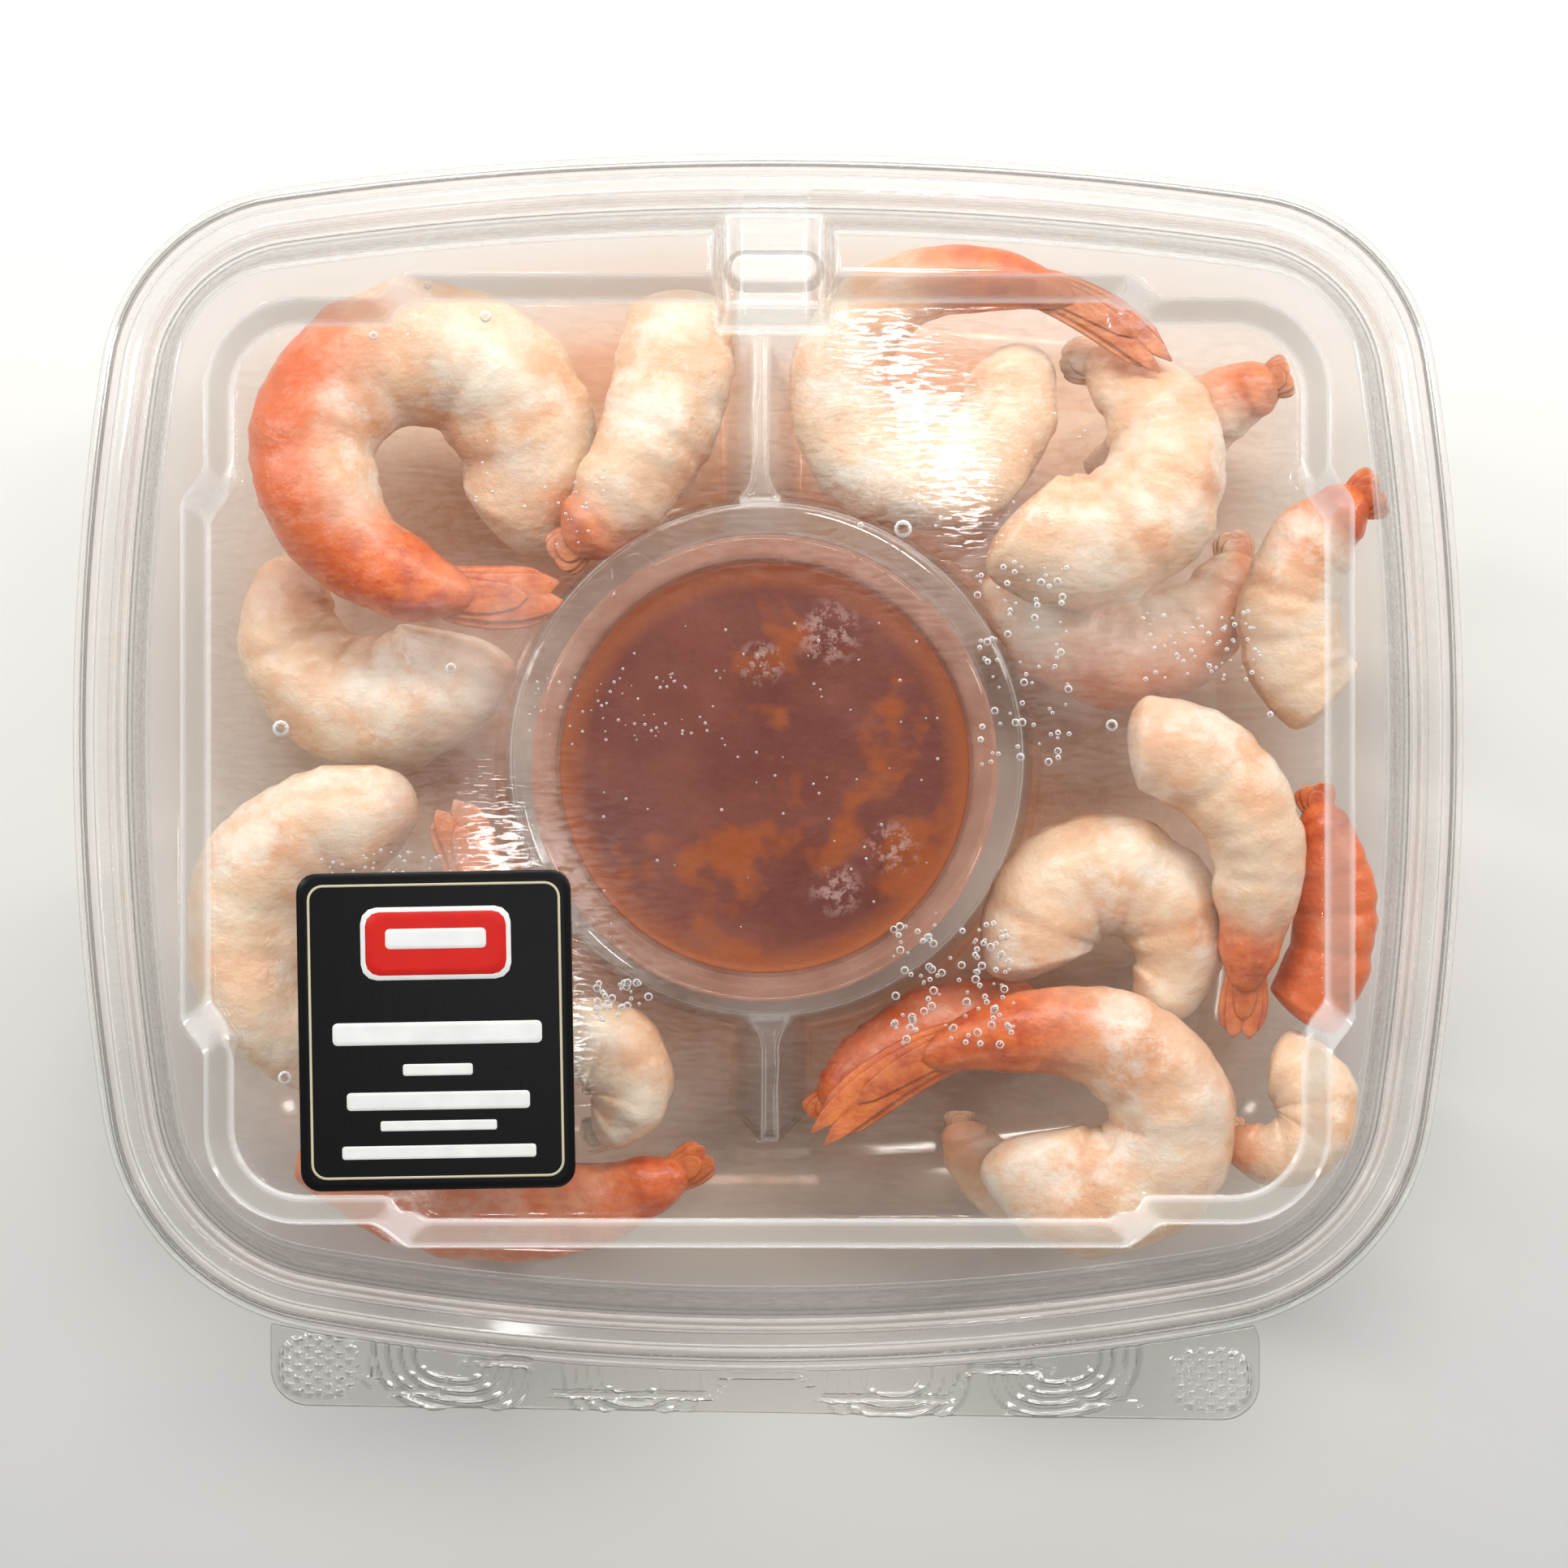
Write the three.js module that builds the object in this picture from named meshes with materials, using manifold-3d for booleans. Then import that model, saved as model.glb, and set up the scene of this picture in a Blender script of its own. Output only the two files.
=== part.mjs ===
// A shut, clear, thin-walled pack of cooked shrimps round a sealed cup of cocktail sauce.
// Millimetres. +X is to the right, +Y to the back, +Z up; the pack stands on Z = 0.
import * as THREE from "three";
import { mergeVertices } from "three/addons/utils/BufferGeometryUtils.js";
import Module from "manifold-3d";

const wasm = await Module();
wasm.setup();

// ---- Driving dimensions ----

const packWidth = 184.2;
const packDepth = 161;
const wall = 0.6;
const gap = 0.3;
// How far a cutting solid reaches past the faces that it cuts.
const beyond = 1;

// The four sides of the rim are shallow arcs, and the corners are small ones.
const backBow = 460;
const frontBow = 350;
const sideBow = 325;
const sideBowMiddleY = 3.5;
const backCorner = 27.4;
const frontCorner = 33;
const arcSteps = { side: 4, end: 4, corner: 6 };
const roundSteps = 36;

// Heights of the tray's and the lid's levels.
const floorTop = wall;
const flangeTop = 34;
const ridgeTop = 36.6;
const channelTop = 34.4;
const lidFlangeTop = channelTop + gap + wall;
const shoulderTop = 46.2;
const panelTop = 42.4;
const lidPocketTop = 36.5;

// The wall's upper face from the rim's edge inwards, as [distance from the edge, height].
const trayWall = [
  [0, flangeTop],
  [1.1, flangeTop],
  [1.5, ridgeTop],
  [2.3, ridgeTop],
  [2.7, channelTop],
  [5, channelTop],
  [5.9, 31.5],
  [7.6, 22],
  [10.6, 12.5],
  [15.5, 5],
  [21, 1.6],
  [26.5, floorTop],
  [28, floorTop],
];
const wallTop = 5;
const trayFloorInset = 27;
const lidWall = [
  [3.05, lidFlangeTop],
  [5.9, lidFlangeTop],
  [6.4, 33.6],
  [7, 33.6],
  [7.6, lidFlangeTop],
  [8.8, 36.6],
  [12.4, 45.2],
  [13.6, shoulderTop],
  [15, shoulderTop],
];
const lidSlopeStart = 4;
const lidPlateInset = 14.5;

// The sunk panel in the lid: a rectangle whose sides step out in the middle.
const panel = {
  cornerX: 71.8,
  middleX: 74.8,
  cornerY: 59,
  middleY: 62,
  stepX: 48.5,
  stepY: 35.5,
  stepRun: 1,
  corner: 7,
  draft: 2.9,
};

// The sunk pocket through the lid's back shoulder, with a raised button in it.
const pocket = { left: -5.6, right: 7.2, front: 60.3, back: 84, corner: 2.2 };
const pocketSideDraft = 0.125;
const pocketFrontDraft = 0.78;
const button = {
  x: 0.8,
  y: 64.45,
  length: 12.7,
  width: 4.9,
  height: 2.4,
  taper: 0.8,
  endRounding: 0.99,
};

// The ring that holds the cup, the two dividers and the post under the lid's pocket. All are
// formed in the sheet, so they are hollow from below, and the post is a flute in the back wall.
const ring = { x: -0.2, y: 0.3, height: 31, foot: [26.6, 38.6], top: [30.2, 34.4], chamfer: 0.6 };
const divider = { height: 30, footHalf: 5.3, topHalf: 1.2, corner: 0.3 };
const backDivider = { x: -1.1, from: 32, to: 60, endDraft: 0 };
const frontDivider = { x: 0.2, from: -54, to: -32, endDraft: 3 };
const post = {
  x: 0.75,
  height: 32.4,
  footHalf: 6.8,
  topHalf: 4.9,
  footFront: 52.5,
  topFront: 57.8,
  back: 76,
  corner: 1.5,
};

// The sealed cup of sauce.
const cup = {
  x: -0.5,
  y: -0.9,
  base: 22.5,
  mouth: 28.6,
  flange: 31,
  wall: 0.8,
  foot: 1,
  lip: [0.3, 0.5],
};
const cupBottom = floorTop + gap;
const cupFlangeTop = 33.8;
const sauceTop = 31.6;
const film = { radius: 30.7, thickness: 0.2 };
const tab = { reach: 33.6, root: 26.7, half: 3.2, corner: 1.5, angle: 124 };

const label = { x: -42.8, y: -34.8, width: 35.4, depth: 41, corner: 2.6, turn: 1, thickness: 0.2 };

// The tear strip along the front flange.
const strip = { length: 131, front: -86.3, depth: 15, end: 5, skew: -0.9, middleX: -0.4 };
const pad = { length: 11, width: 8.4, height: 0.5, corner: 3.8, y: 5.3, spots: [-59, 59] };
const lobe = { length: 20, width: 5.6, height: 0.4, corner: 2.6, y: 5.4, spots: [-41.5, -17.6, 17.4, 39.6] };

// ---- Solids ----

// A three.js geometry as a solid, with its faces turned outwards.
function solidOf(geometry) {
  const bare = geometry.index ? geometry.clone() : geometry.toNonIndexed();
  bare.deleteAttribute("normal");
  bare.deleteAttribute("uv");
  const merged = mergeVertices(bare, 1e-4);
  const mesh = new wasm.Mesh({
    numProp: 3,
    vertProperties: merged.attributes.position.array,
    triVerts: new Uint32Array(merged.index.array),
  });
  const made = new wasm.Manifold(mesh);
  if (made.volume() >= 0) return made;
  const flipped = mesh.triVerts.slice();
  for (let i = 0; i < flipped.length; i += 3) {
    flipped[i] = mesh.triVerts[i + 1];
    flipped[i + 1] = mesh.triVerts[i];
  }
  return new wasm.Manifold(
    new wasm.Mesh({ numProp: 3, vertProperties: mesh.vertProperties, triVerts: flipped }),
  );
}

function geometryOf(positions, triangles) {
  const geometry = new THREE.BufferGeometry();
  geometry.setAttribute("position", new THREE.Float32BufferAttribute(positions.flat(), 3));
  geometry.setIndex(triangles.flat());
  return geometry;
}

// A solid through rings of points, one ring above another, closed by a fan at each end.
function stack(rings) {
  const count = rings[0].length;
  const positions = rings.flat();
  const triangles = [];
  for (let level = 0; level + 1 < rings.length; level++)
    for (let i = 0; i < count; i++) {
      const here = level * count + i;
      const next = level * count + ((i + 1) % count);
      triangles.push([here, next, next + count], [here, next + count, here + count]);
    }
  for (const level of [0, rings.length - 1]) {
    const ringPoints = rings[level];
    const middle = [0, 1, 2].map((k) => ringPoints.reduce((sum, p) => sum + p[k], 0) / count);
    const hub = positions.push(middle) - 1;
    for (let i = 0; i < count; i++) {
      const here = level * count + i;
      const next = level * count + ((i + 1) % count);
      triangles.push(level ? [hub, here, next] : [hub, next, here]);
    }
  }
  return solidOf(geometryOf(positions, triangles));
}

// A solid of revolution about a vertical axis through (x, y), from [radius, height] points.
function turned(profile, x, y, steps) {
  const points = profile.map(([radius, height]) => new THREE.Vector2(radius, height));
  const geometry = new THREE.LatheGeometry(points, steps);
  geometry.rotateX(Math.PI / 2);
  geometry.translate(x, y, 0);
  return solidOf(geometry);
}

function union(solids) {
  return solids.reduce((sum, solid) => sum.add(solid));
}

// ---- Outlines ----

// The centre of the corner arc that runs smoothly into a side arc and an end arc.
function cornerCentre(signX, signY) {
  const bow = signY > 0 ? backBow : frontBow;
  const radius = signY > 0 ? backCorner : frontCorner;
  const end = new THREE.Vector2(0, signY * (packDepth / 2 - bow));
  const side = new THREE.Vector2(signX * (packWidth / 2 - sideBow), sideBowMiddleY);
  const between = side.clone().sub(end);
  const distance = between.length();
  const reach = bow - radius;
  const along = (reach ** 2 - (sideBow - radius) ** 2 + distance ** 2) / (2 * distance);
  const across = Math.sqrt(reach ** 2 - along ** 2);
  const unit = between.normalize();
  const square = new THREE.Vector2(-unit.y, unit.x);
  const spots = [1, -1].map((sign) =>
    end.clone().addScaledVector(unit, along).addScaledVector(square, sign * across),
  );
  return spots.find((spot) => spot.x * signX > 0 && spot.y * signY > 0);
}

// Stations round the rim: each has an arc's centre and radius and the direction outwards.
function rimStations() {
  const corners = [
    [1, 1],
    [-1, 1],
    [-1, -1],
    [1, -1],
  ].map(([x, y]) => ({ centre: cornerCentre(x, y), x, y }));
  const sideCentre = (x) => new THREE.Vector2(x * (packWidth / 2 - sideBow), sideBowMiddleY);
  const endCentre = (y) => {
    const bow = y > 0 ? backBow : frontBow;
    return new THREE.Vector2(0, y * (packDepth / 2 - bow));
  };
  const heading = (from, to) => {
    const angle = Math.atan2(to.y - from.y, to.x - from.x);
    return angle < -1e-9 ? angle + 2 * Math.PI : angle;
  };
  const stations = [];
  const addArc = (centre, radius, from, to, steps) => {
    const sweep = to < from ? to + 2 * Math.PI - from : to - from;
    for (let i = 0; i < steps; i++)
      stations.push({ centre, radius, angle: from + (sweep * i) / steps });
  };
  corners.forEach(({ centre, x, y }, i) => {
    const next = corners[(i + 1) % corners.length];
    const side = heading(sideCentre(x), centre);
    const end = heading(endCentre(y), centre);
    const radius = y > 0 ? backCorner : frontCorner;
    const sideFirst = x * y > 0;
    addArc(centre, radius, sideFirst ? side : end, sideFirst ? end : side, arcSteps.corner);
    if (sideFirst) {
      const bow = y > 0 ? backBow : frontBow;
      addArc(endCentre(y), bow, end, heading(endCentre(y), next.centre), arcSteps.end);
    } else {
      addArc(sideCentre(x), sideBow, side, heading(sideCentre(x), next.centre), arcSteps.side);
    }
  });
  return stations;
}

const stations = rimStations();

// The rim's outline at a height, drawn in from the pack's edge by the inset.
function rimRing(inset, height) {
  return stations.map(({ centre, radius, angle }) => [
    centre.x + (radius - inset) * Math.cos(angle),
    centre.y + (radius - inset) * Math.sin(angle),
    height,
  ]);
}

// The closed section of a wall whose upper face follows the path.
function wallSection(path, thickness) {
  const normals = path.slice(1).map(([inset, height], i) => {
    const run = new THREE.Vector2(inset - path[i][0], height - path[i][1]).normalize();
    return new THREE.Vector2(run.y, -run.x);
  });
  const under = path.map(([inset, height], i) => {
    const before = normals[Math.max(i - 1, 0)];
    const after = normals[Math.min(i, normals.length - 1)];
    const scale = thickness / (1 + before.dot(after));
    return [inset + (before.x + after.x) * scale, height + (before.y + after.y) * scale];
  });
  return [...path, ...under.reverse()];
}

// A closed section carried once round the rim.
function carriedRound(section) {
  const rings = section.map(([inset, height]) => rimRing(inset, height));
  const count = stations.length;
  const triangles = [];
  rings.forEach((_, level) => {
    const above = (level + 1) % rings.length;
    for (let i = 0; i < count; i++) {
      const next = (i + 1) % count;
      const corners = [level * count + i, level * count + next, above * count + next];
      triangles.push(corners, [corners[0], corners[2], above * count + i]);
    }
  });
  return solidOf(geometryOf(rings.flat(), triangles));
}

// A rectangle with rounded corners at a height.
function roundedRing({ left, right, front, back, corner }, height, steps = 3) {
  const centres = [
    [right - corner, back - corner],
    [left + corner, back - corner],
    [left + corner, front + corner],
    [right - corner, front + corner],
  ];
  return centres.flatMap(([x, y], quarter) =>
    Array.from({ length: steps + 1 }, (_, i) => {
      const angle = ((quarter + i / steps) * Math.PI) / 2;
      return [x + corner * Math.cos(angle), y + corner * Math.sin(angle), height];
    }),
  );
}

// The lid panel's stepped outline, grown outwards.
function panelRing(grow, height, cornerSteps = 4) {
  const cornerX = panel.cornerX + grow;
  const cornerY = panel.cornerY + grow;
  const stepX = panel.stepX + grow;
  const stepY = panel.stepY + grow;
  const radius = panel.corner + grow;
  const quarter = [
    [panel.middleX + grow, stepY - panel.stepRun],
    [cornerX, stepY + panel.stepRun],
  ];
  for (let i = 0; i <= cornerSteps; i++) {
    const angle = ((i / cornerSteps) * Math.PI) / 2;
    quarter.push([
      cornerX - radius + radius * Math.cos(angle),
      cornerY - radius + radius * Math.sin(angle),
    ]);
  }
  quarter.push([stepX + panel.stepRun, cornerY], [stepX - panel.stepRun, panel.middleY + grow]);
  const flipped = [...quarter].reverse();
  return [
    ...quarter.map(([x, y]) => [x, y, height]),
    ...flipped.map(([x, y]) => [-x, y, height]),
    ...quarter.map(([x, y]) => [-x, -y, height]),
    ...flipped.map(([x, y]) => [x, -y, height]),
  ];
}

// ---- Tray ----

function ringWall(inFrom, foot) {
  const [footIn, footOut] = ring.foot;
  const [topIn, topOut] = ring.top;
  const top = ring.height - inFrom;
  return turned(
    [
      [footIn + inFrom, foot],
      [topIn + inFrom, top - ring.chamfer],
      [topIn + inFrom + ring.chamfer, top],
      [topOut - inFrom - ring.chamfer, top],
      [topOut - inFrom, top - ring.chamfer],
      [footOut - inFrom, foot],
      [footIn + inFrom, foot],
    ],
    ring.x,
    ring.y,
    roundSteps,
  );
}

function dividerBlock({ x, from, to, endDraft }, inset, foot) {
  const span = (half, low, high) => ({
    left: x - half + inset,
    right: x + half - inset,
    front: low + inset,
    back: high - inset,
    corner: divider.corner,
  });
  return stack([
    roundedRing(span(divider.footHalf, from, to), foot, 1),
    roundedRing(span(divider.topHalf, from + endDraft, to), divider.height - inset, 1),
  ]);
}

function postBlock(inset, foot) {
  const span = (half, front) => ({
    left: post.x - half + inset,
    right: post.x + half - inset,
    front: front + inset,
    back: post.back,
    corner: post.corner,
  });
  return stack([
    roundedRing(span(post.footHalf, post.footFront), foot, 2),
    roundedRing(span(post.topHalf, post.topFront), post.height - inset, 2),
  ]);
}

// The space inside the wall's upper face, grown outwards into the sheet or past it.
function bowl(grow) {
  const path = trayWall.slice(wallTop).reverse();
  return stack(path.map(([inset, height]) => rimRing(inset - grow, height - grow)));
}

function makeTray() {
  const shell = carriedRound(wallSection(trayWall, wall));
  const floor = stack([rimRing(trayFloorInset, 0), rimRing(trayFloorInset, floorTop)]);
  const raised = union([
    ringWall(0, 0),
    dividerBlock(backDivider, 0, 0),
    dividerBlock(frontDivider, 0, 0),
    postBlock(0, 0),
  ]).intersect(bowl(wall / 2).add(floor));
  const hollows = union([
    ringWall(wall, -beyond),
    dividerBlock(backDivider, wall, -beyond),
    dividerBlock(frontDivider, wall, -beyond),
    postBlock(wall, -beyond),
  ]);
  const below = stack([rimRing(trayFloorInset, -beyond), rimRing(trayFloorInset, floorTop)]);
  return union([shell, floor, raised]).subtract(hollows.intersect(bowl(2 * wall).add(below)));
}

// ---- Lid ----

function panelDepth(height) {
  return (-panel.draft * (shoulderTop - height)) / (shoulderTop - panelTop);
}

function pocketRing(grow, height, level = height) {
  const rise = level - lidPocketTop;
  return roundedRing(
    {
      left: pocket.left - pocketSideDraft * rise - grow,
      right: pocket.right + pocketSideDraft * rise + grow,
      front: pocket.front - pocketFrontDraft * rise - grow,
      back: pocket.back,
      corner: pocket.corner + grow,
    },
    height,
    3,
  );
}

function buttonBlock(inset, foot) {
  const ringAt = (shrink, height) =>
    roundedRing(
      {
        left: button.x - button.length / 2 + shrink,
        right: button.x + button.length / 2 - shrink,
        front: button.y - button.width / 2 + shrink,
        back: button.y + button.width / 2 - shrink,
        corner: (button.width / 2 - shrink) * button.endRounding,
      },
      height,
      3,
    );
  return stack([
    ringAt(inset, foot),
    ringAt(inset + button.taper, lidPocketTop + button.height - inset),
  ]);
}

function makeLid() {
  const above = shoulderTop + beyond;
  const skirt = carriedRound(wallSection(lidWall, wall));
  const plate = stack([
    rimRing(lidPlateInset, shoulderTop - wall),
    rimRing(lidPlateInset, shoulderTop),
  ]);
  const sunkPanel = stack([
    panelRing(panelDepth(panelTop), panelTop),
    panelRing(panelDepth(above), above),
  ]);
  const panelOutside = stack([
    panelRing(panelDepth(panelTop) + wall, panelTop - wall),
    panelRing(wall, shoulderTop),
  ]);
  const sunkPocket = stack([pocketRing(0, lidPocketTop), pocketRing(0, above)]);
  const pocketOutside = stack([
    pocketRing(wall, lidPocketTop - wall, lidPocketTop),
    pocketRing(wall, shoulderTop),
  ]);
  const envelope = stack(
    lidWall.slice(lidSlopeStart).map(([inset, height]) => rimRing(inset, height)),
  );
  const covered = envelope.subtract(sunkPanel);
  return union([skirt, plate.subtract(sunkPanel), panelOutside.subtract(sunkPanel)])
    .subtract(sunkPocket)
    .add(pocketOutside.intersect(covered).subtract(sunkPocket))
    .add(buttonBlock(0, lidPocketTop - wall))
    .subtract(buttonBlock(wall, lidPocketTop - wall - beyond));
}

// ---- Tear strip, label, cup, film and sauce ----

function makeStrip() {
  const half = strip.length / 2;
  const low = flangeTop - wall;
  const plateSpan = { left: -half, right: half, front: 0, back: strip.depth, corner: strip.end };
  const plate = stack([roundedRing(plateSpan, low), roundedRing(plateSpan, flangeTop)]);
  const raised = ({ length, width, height, corner, y, spots }) =>
    spots.map((x) => {
      const span = {
        left: x - length / 2,
        right: x + length / 2,
        front: y - width / 2,
        back: y + width / 2,
        corner,
      };
      const level = flangeTop - wall / 2;
      return stack([roundedRing(span, level, 2), roundedRing(span, flangeTop + height, 2)]);
    });
  const packEdge = stack([rimRing(-gap, low - beyond), rimRing(-gap, ridgeTop)]);
  return union([plate, ...raised(pad), ...raised(lobe)])
    .rotate([0, 0, strip.skew])
    .translate([strip.middleX, strip.front, 0])
    .subtract(packEdge);
}

function makeLabel() {
  const span = {
    left: -label.width / 2,
    right: label.width / 2,
    front: -label.depth / 2,
    back: label.depth / 2,
    corner: label.corner,
  };
  const low = panelTop + gap;
  return stack([roundedRing(span, low), roundedRing(span, low + label.thickness)])
    .rotate([0, 0, label.turn])
    .translate([label.x, label.y, 0]);
}

// The radius of the cup's wall at a height, measured on its inner or outer face.
function cupRadius(height, face) {
  const low = cupBottom + cup.foot + (face === "inner" ? cup.wall : 0);
  const share = (height - low) / (cupFlangeTop - low);
  const outer = THREE.MathUtils.lerp(cup.base, cup.mouth, share);
  return face === "inner" ? outer - cup.wall : outer;
}

function makeCup() {
  const rimLow = cupFlangeTop - cup.wall;
  return turned(
    [
      [0, cupBottom],
      [cup.base - cup.foot, cupBottom],
      [cup.base, cupBottom + cup.foot],
      [cupRadius(rimLow, "outer"), rimLow],
      [cup.flange - cup.lip[0], rimLow - cup.lip[1]],
      [cup.flange, rimLow],
      [cup.flange, cupFlangeTop],
      [cupRadius(cupFlangeTop, "inner"), cupFlangeTop],
      [cup.base - cup.wall, cupBottom + cup.foot + cup.wall],
      [cup.base - cup.foot - cup.wall, cupBottom + cup.wall],
      [0, cupBottom + cup.wall],
    ],
    cup.x,
    cup.y,
    roundSteps,
  );
}

function makeFilm() {
  const low = cupFlangeTop + gap;
  const disc = turned(
    [
      [0, low],
      [film.radius, low],
      [film.radius, low + film.thickness],
      [0, low + film.thickness],
    ],
    0,
    0,
    roundSteps,
  );
  const tabSpan = {
    left: tab.root,
    right: tab.reach,
    front: -tab.half,
    back: tab.half,
    corner: tab.corner,
  };
  const flap = stack([roundedRing(tabSpan, low, 2), roundedRing(tabSpan, low + film.thickness, 2)]);
  return disc.add(flap.rotate([0, 0, tab.angle])).translate([cup.x, cup.y, 0]);
}

function makeSauce() {
  const foot = cupBottom + cup.wall + gap;
  return turned(
    [
      [0, foot],
      [cupRadius(foot + cup.foot, "inner") - gap - cup.foot, foot],
      [cupRadius(foot + cup.foot, "inner") - gap, foot + cup.foot],
      [cupRadius(sauceTop, "inner") - gap, sauceTop],
      [0, sauceTop],
    ],
    cup.x,
    cup.y,
    roundSteps,
  );
}

// ---- Shrimps ----

// Each shrimp curls about (x, y): it starts with its thick end at the heading "from", turns
// through "sweep" degrees at the radius "curl", and its tail unrolls by "open" times that.
// "z" gives the height of the thick end, the middle and the tail, "girth" the half thickness.
const shrimps = [
  { x: -46.5, y: 41.5, from: -47, sweep: 366, curl: 14.2, open: 1, z: [19, 29, 35.6], girth: 9 },
  { x: -52.5, y: 60, from: 4, sweep: -59, curl: 40.5, open: 0, z: [24, 28, 29], girth: 7.6 },
  { x: -54.5, y: 20.5, from: -13, sweep: -220, curl: 12.8, open: 0, z: [20, 17, 14], girth: 8.5 },
  { x: -55.5, y: -23, from: 62, sweep: 355, curl: 15.3, open: 0.45, z: [27, 28, 35], girth: 7.6 },
  { x: -24.4, y: -43.6, from: 150, sweep: -250, curl: 6, open: 0.3, z: [28, 28, 26], girth: 5.8 },
  { x: -36, y: -18.7, from: 230, sweep: 80, curl: 44.2, open: 0, z: [14, 20.5, 26], girth: 6 },
  { x: 20.8, y: 49.6, from: 32, sweep: -392, curl: 12, open: 1.8, z: [26, 29, 36], girth: 6.4 },
  { x: 88, y: 2, from: 138, sweep: -31, curl: 54, open: 0, z: [9, 13, 22], girth: 6 },
  { x: 41, y: 41, from: -135, sweep: 232, curl: 12.6, open: 0.15, z: [32, 32, 24], girth: 8 },
  { x: 50.1, y: 29.9, from: 187, sweep: 185, curl: 15, open: 0, z: [18.5, 16.5, 15], girth: 7.1 },
  { x: 86.8, y: 20.5, from: -128, sweep: -127, curl: 16.2, open: 0.03, z: [24, 26, 31.5], girth: 6.4 },
  { x: 49, y: -14, from: 93, sweep: -152, curl: 17, open: 0.7, z: [30, 31, 26], girth: 6.2 },
  { x: 51.6, y: -20, from: -36, sweep: 74, curl: 26.3, open: 0.08, z: [22, 23, 25], girth: 5.3 },
  { x: 46.3, y: -25.1, from: 203, sweep: -290, curl: 10.2, open: 0, z: [22, 23, 21], girth: 7.4 },
  { x: 44.5, y: -48.5, from: 193, sweep: 353, curl: 10.7, open: 2.8, z: [24, 29, 34], girth: 7.5 },
  { x: 31.6, y: -66.4, from: 80, sweep: 67, curl: 30, open: 0, z: [10, 16, 19], girth: 6 },
  { x: 68.9, y: -47.4, from: 85, sweep: -255, curl: 6.2, open: 0, z: [21, 25, 21], girth: 5.1 },
  { x: 38, y: -49, from: -70, sweep: -112, curl: 11.2, open: 0, z: [11, 12, 14], girth: 5 },
];
const shrimpSides = 10;
const shrimpStations = 16;
const unrollPower = 9;
const ringDepth = 0.05;
const segmentCount = 6;

// Half thickness as [share of the length, size], from the cut neck end to the tip of the tail.
const bodyTaper = [
  [0, 0.5],
  [0.06, 0.86],
  [0.18, 1],
  [0.4, 0.96],
  [0.65, 0.74],
  [0.85, 0.5],
  [1, 0.42],
];

// The tail end flattens into a fan.
const fan = { start: 0.88, widen: 0.5, flatten: 0.6 };
const slopeStep = 0.01;

function bodySize(share) {
  const next = Math.max(1, bodyTaper.findIndex(([knot]) => knot >= share));
  const [lowShare, low] = bodyTaper[next - 1];
  const [highShare, high] = bodyTaper[next];
  const size = THREE.MathUtils.mapLinear(share, lowShare, highShare, low, high);
  const segment = (share * segmentCount) % 1;
  return size * (1 - ringDepth * (1 - segment));
}

// The body's middle line, at a share of its length from the thick end.
function shrimpPoint(shrimp, share) {
  const angle = THREE.MathUtils.degToRad(shrimp.from + shrimp.sweep * share);
  const radius = shrimp.curl * (1 + shrimp.open * share ** unrollPower);
  const [start, middle, end] = shrimp.z;
  const height =
    start * (1 - share) * (1 - 2 * share) + middle * 4 * share * (1 - share) +
    end * share * (2 * share - 1);
  return new THREE.Vector3(
    shrimp.x + radius * Math.cos(angle),
    shrimp.y + radius * Math.sin(angle),
    height,
  );
}

function makeShrimp(shrimp) {
  const rings = [];
  for (let i = 0; i <= shrimpStations; i++) {
    const share = i / shrimpStations;
    const here = shrimpPoint(shrimp, share);
    const ahead = shrimpPoint(shrimp, share + slopeStep);
    const behind = shrimpPoint(shrimp, share - slopeStep);
    const along = ahead.sub(behind).normalize();
    const across = new THREE.Vector3(along.y, -along.x, 0).normalize();
    const up = across.clone().cross(along);
    const spread = Math.max(0, (share - fan.start) / (1 - fan.start));
    const width = shrimp.girth * bodySize(share) * (1 + fan.widen * spread);
    const height = shrimp.girth * bodySize(share) * (1 - fan.flatten * spread);
    const circle = [];
    for (let k = 0; k < shrimpSides; k++) {
      const angle = (k / shrimpSides) * 2 * Math.PI;
      const point = here
        .clone()
        .addScaledVector(across, width * Math.cos(angle))
        .addScaledVector(up, height * Math.sin(angle));
      circle.push(point.toArray());
    }
    rings.push(circle);
  }
  return stack(rings);
}

// ---- The whole ----

const finishes = {
  clearPlastic: { color: 0xe8ecec, roughness: 0.1, metalness: 0, transparent: true, opacity: 0.3 },
  frostedPlastic: { color: 0xe6ddd2, roughness: 0.4, metalness: 0, transparent: true, opacity: 0.5 },
  sealingFilm: { color: 0xf2ece6, roughness: 0.2, metalness: 0, transparent: true, opacity: 0.3 },
  labelPrint: { color: 0x141414, roughness: 0.35, metalness: 0 },
  sauce: { color: 0x9a4a34, roughness: 0.3, metalness: 0 },
  shrimp: { color: 0xf0c8ae, roughness: 0.45, metalness: 0 },
};

const group = new THREE.Group();
const stripDrop = (strip.length / 2 - strip.end) * Math.sin(THREE.MathUtils.degToRad(-strip.skew));
group.position.y = (stripDrop - strip.front - packDepth / 2) / 2;

function addPiece(name, solid, finish) {
  const { vertProperties, triVerts, numProp } = solid.getMesh();
  const geometry = new THREE.BufferGeometry();
  const positions = [];
  for (let i = 0; i < vertProperties.length; i += numProp)
    positions.push(...vertProperties.slice(i, i + 3));
  geometry.setAttribute("position", new THREE.Float32BufferAttribute(positions, 3));
  geometry.setIndex([...triVerts]);
  geometry.computeVertexNormals();
  const mesh = new THREE.Mesh(geometry, new THREE.MeshStandardMaterial(finishes[finish]));
  mesh.name = name;
  group.add(mesh);
}

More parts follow.
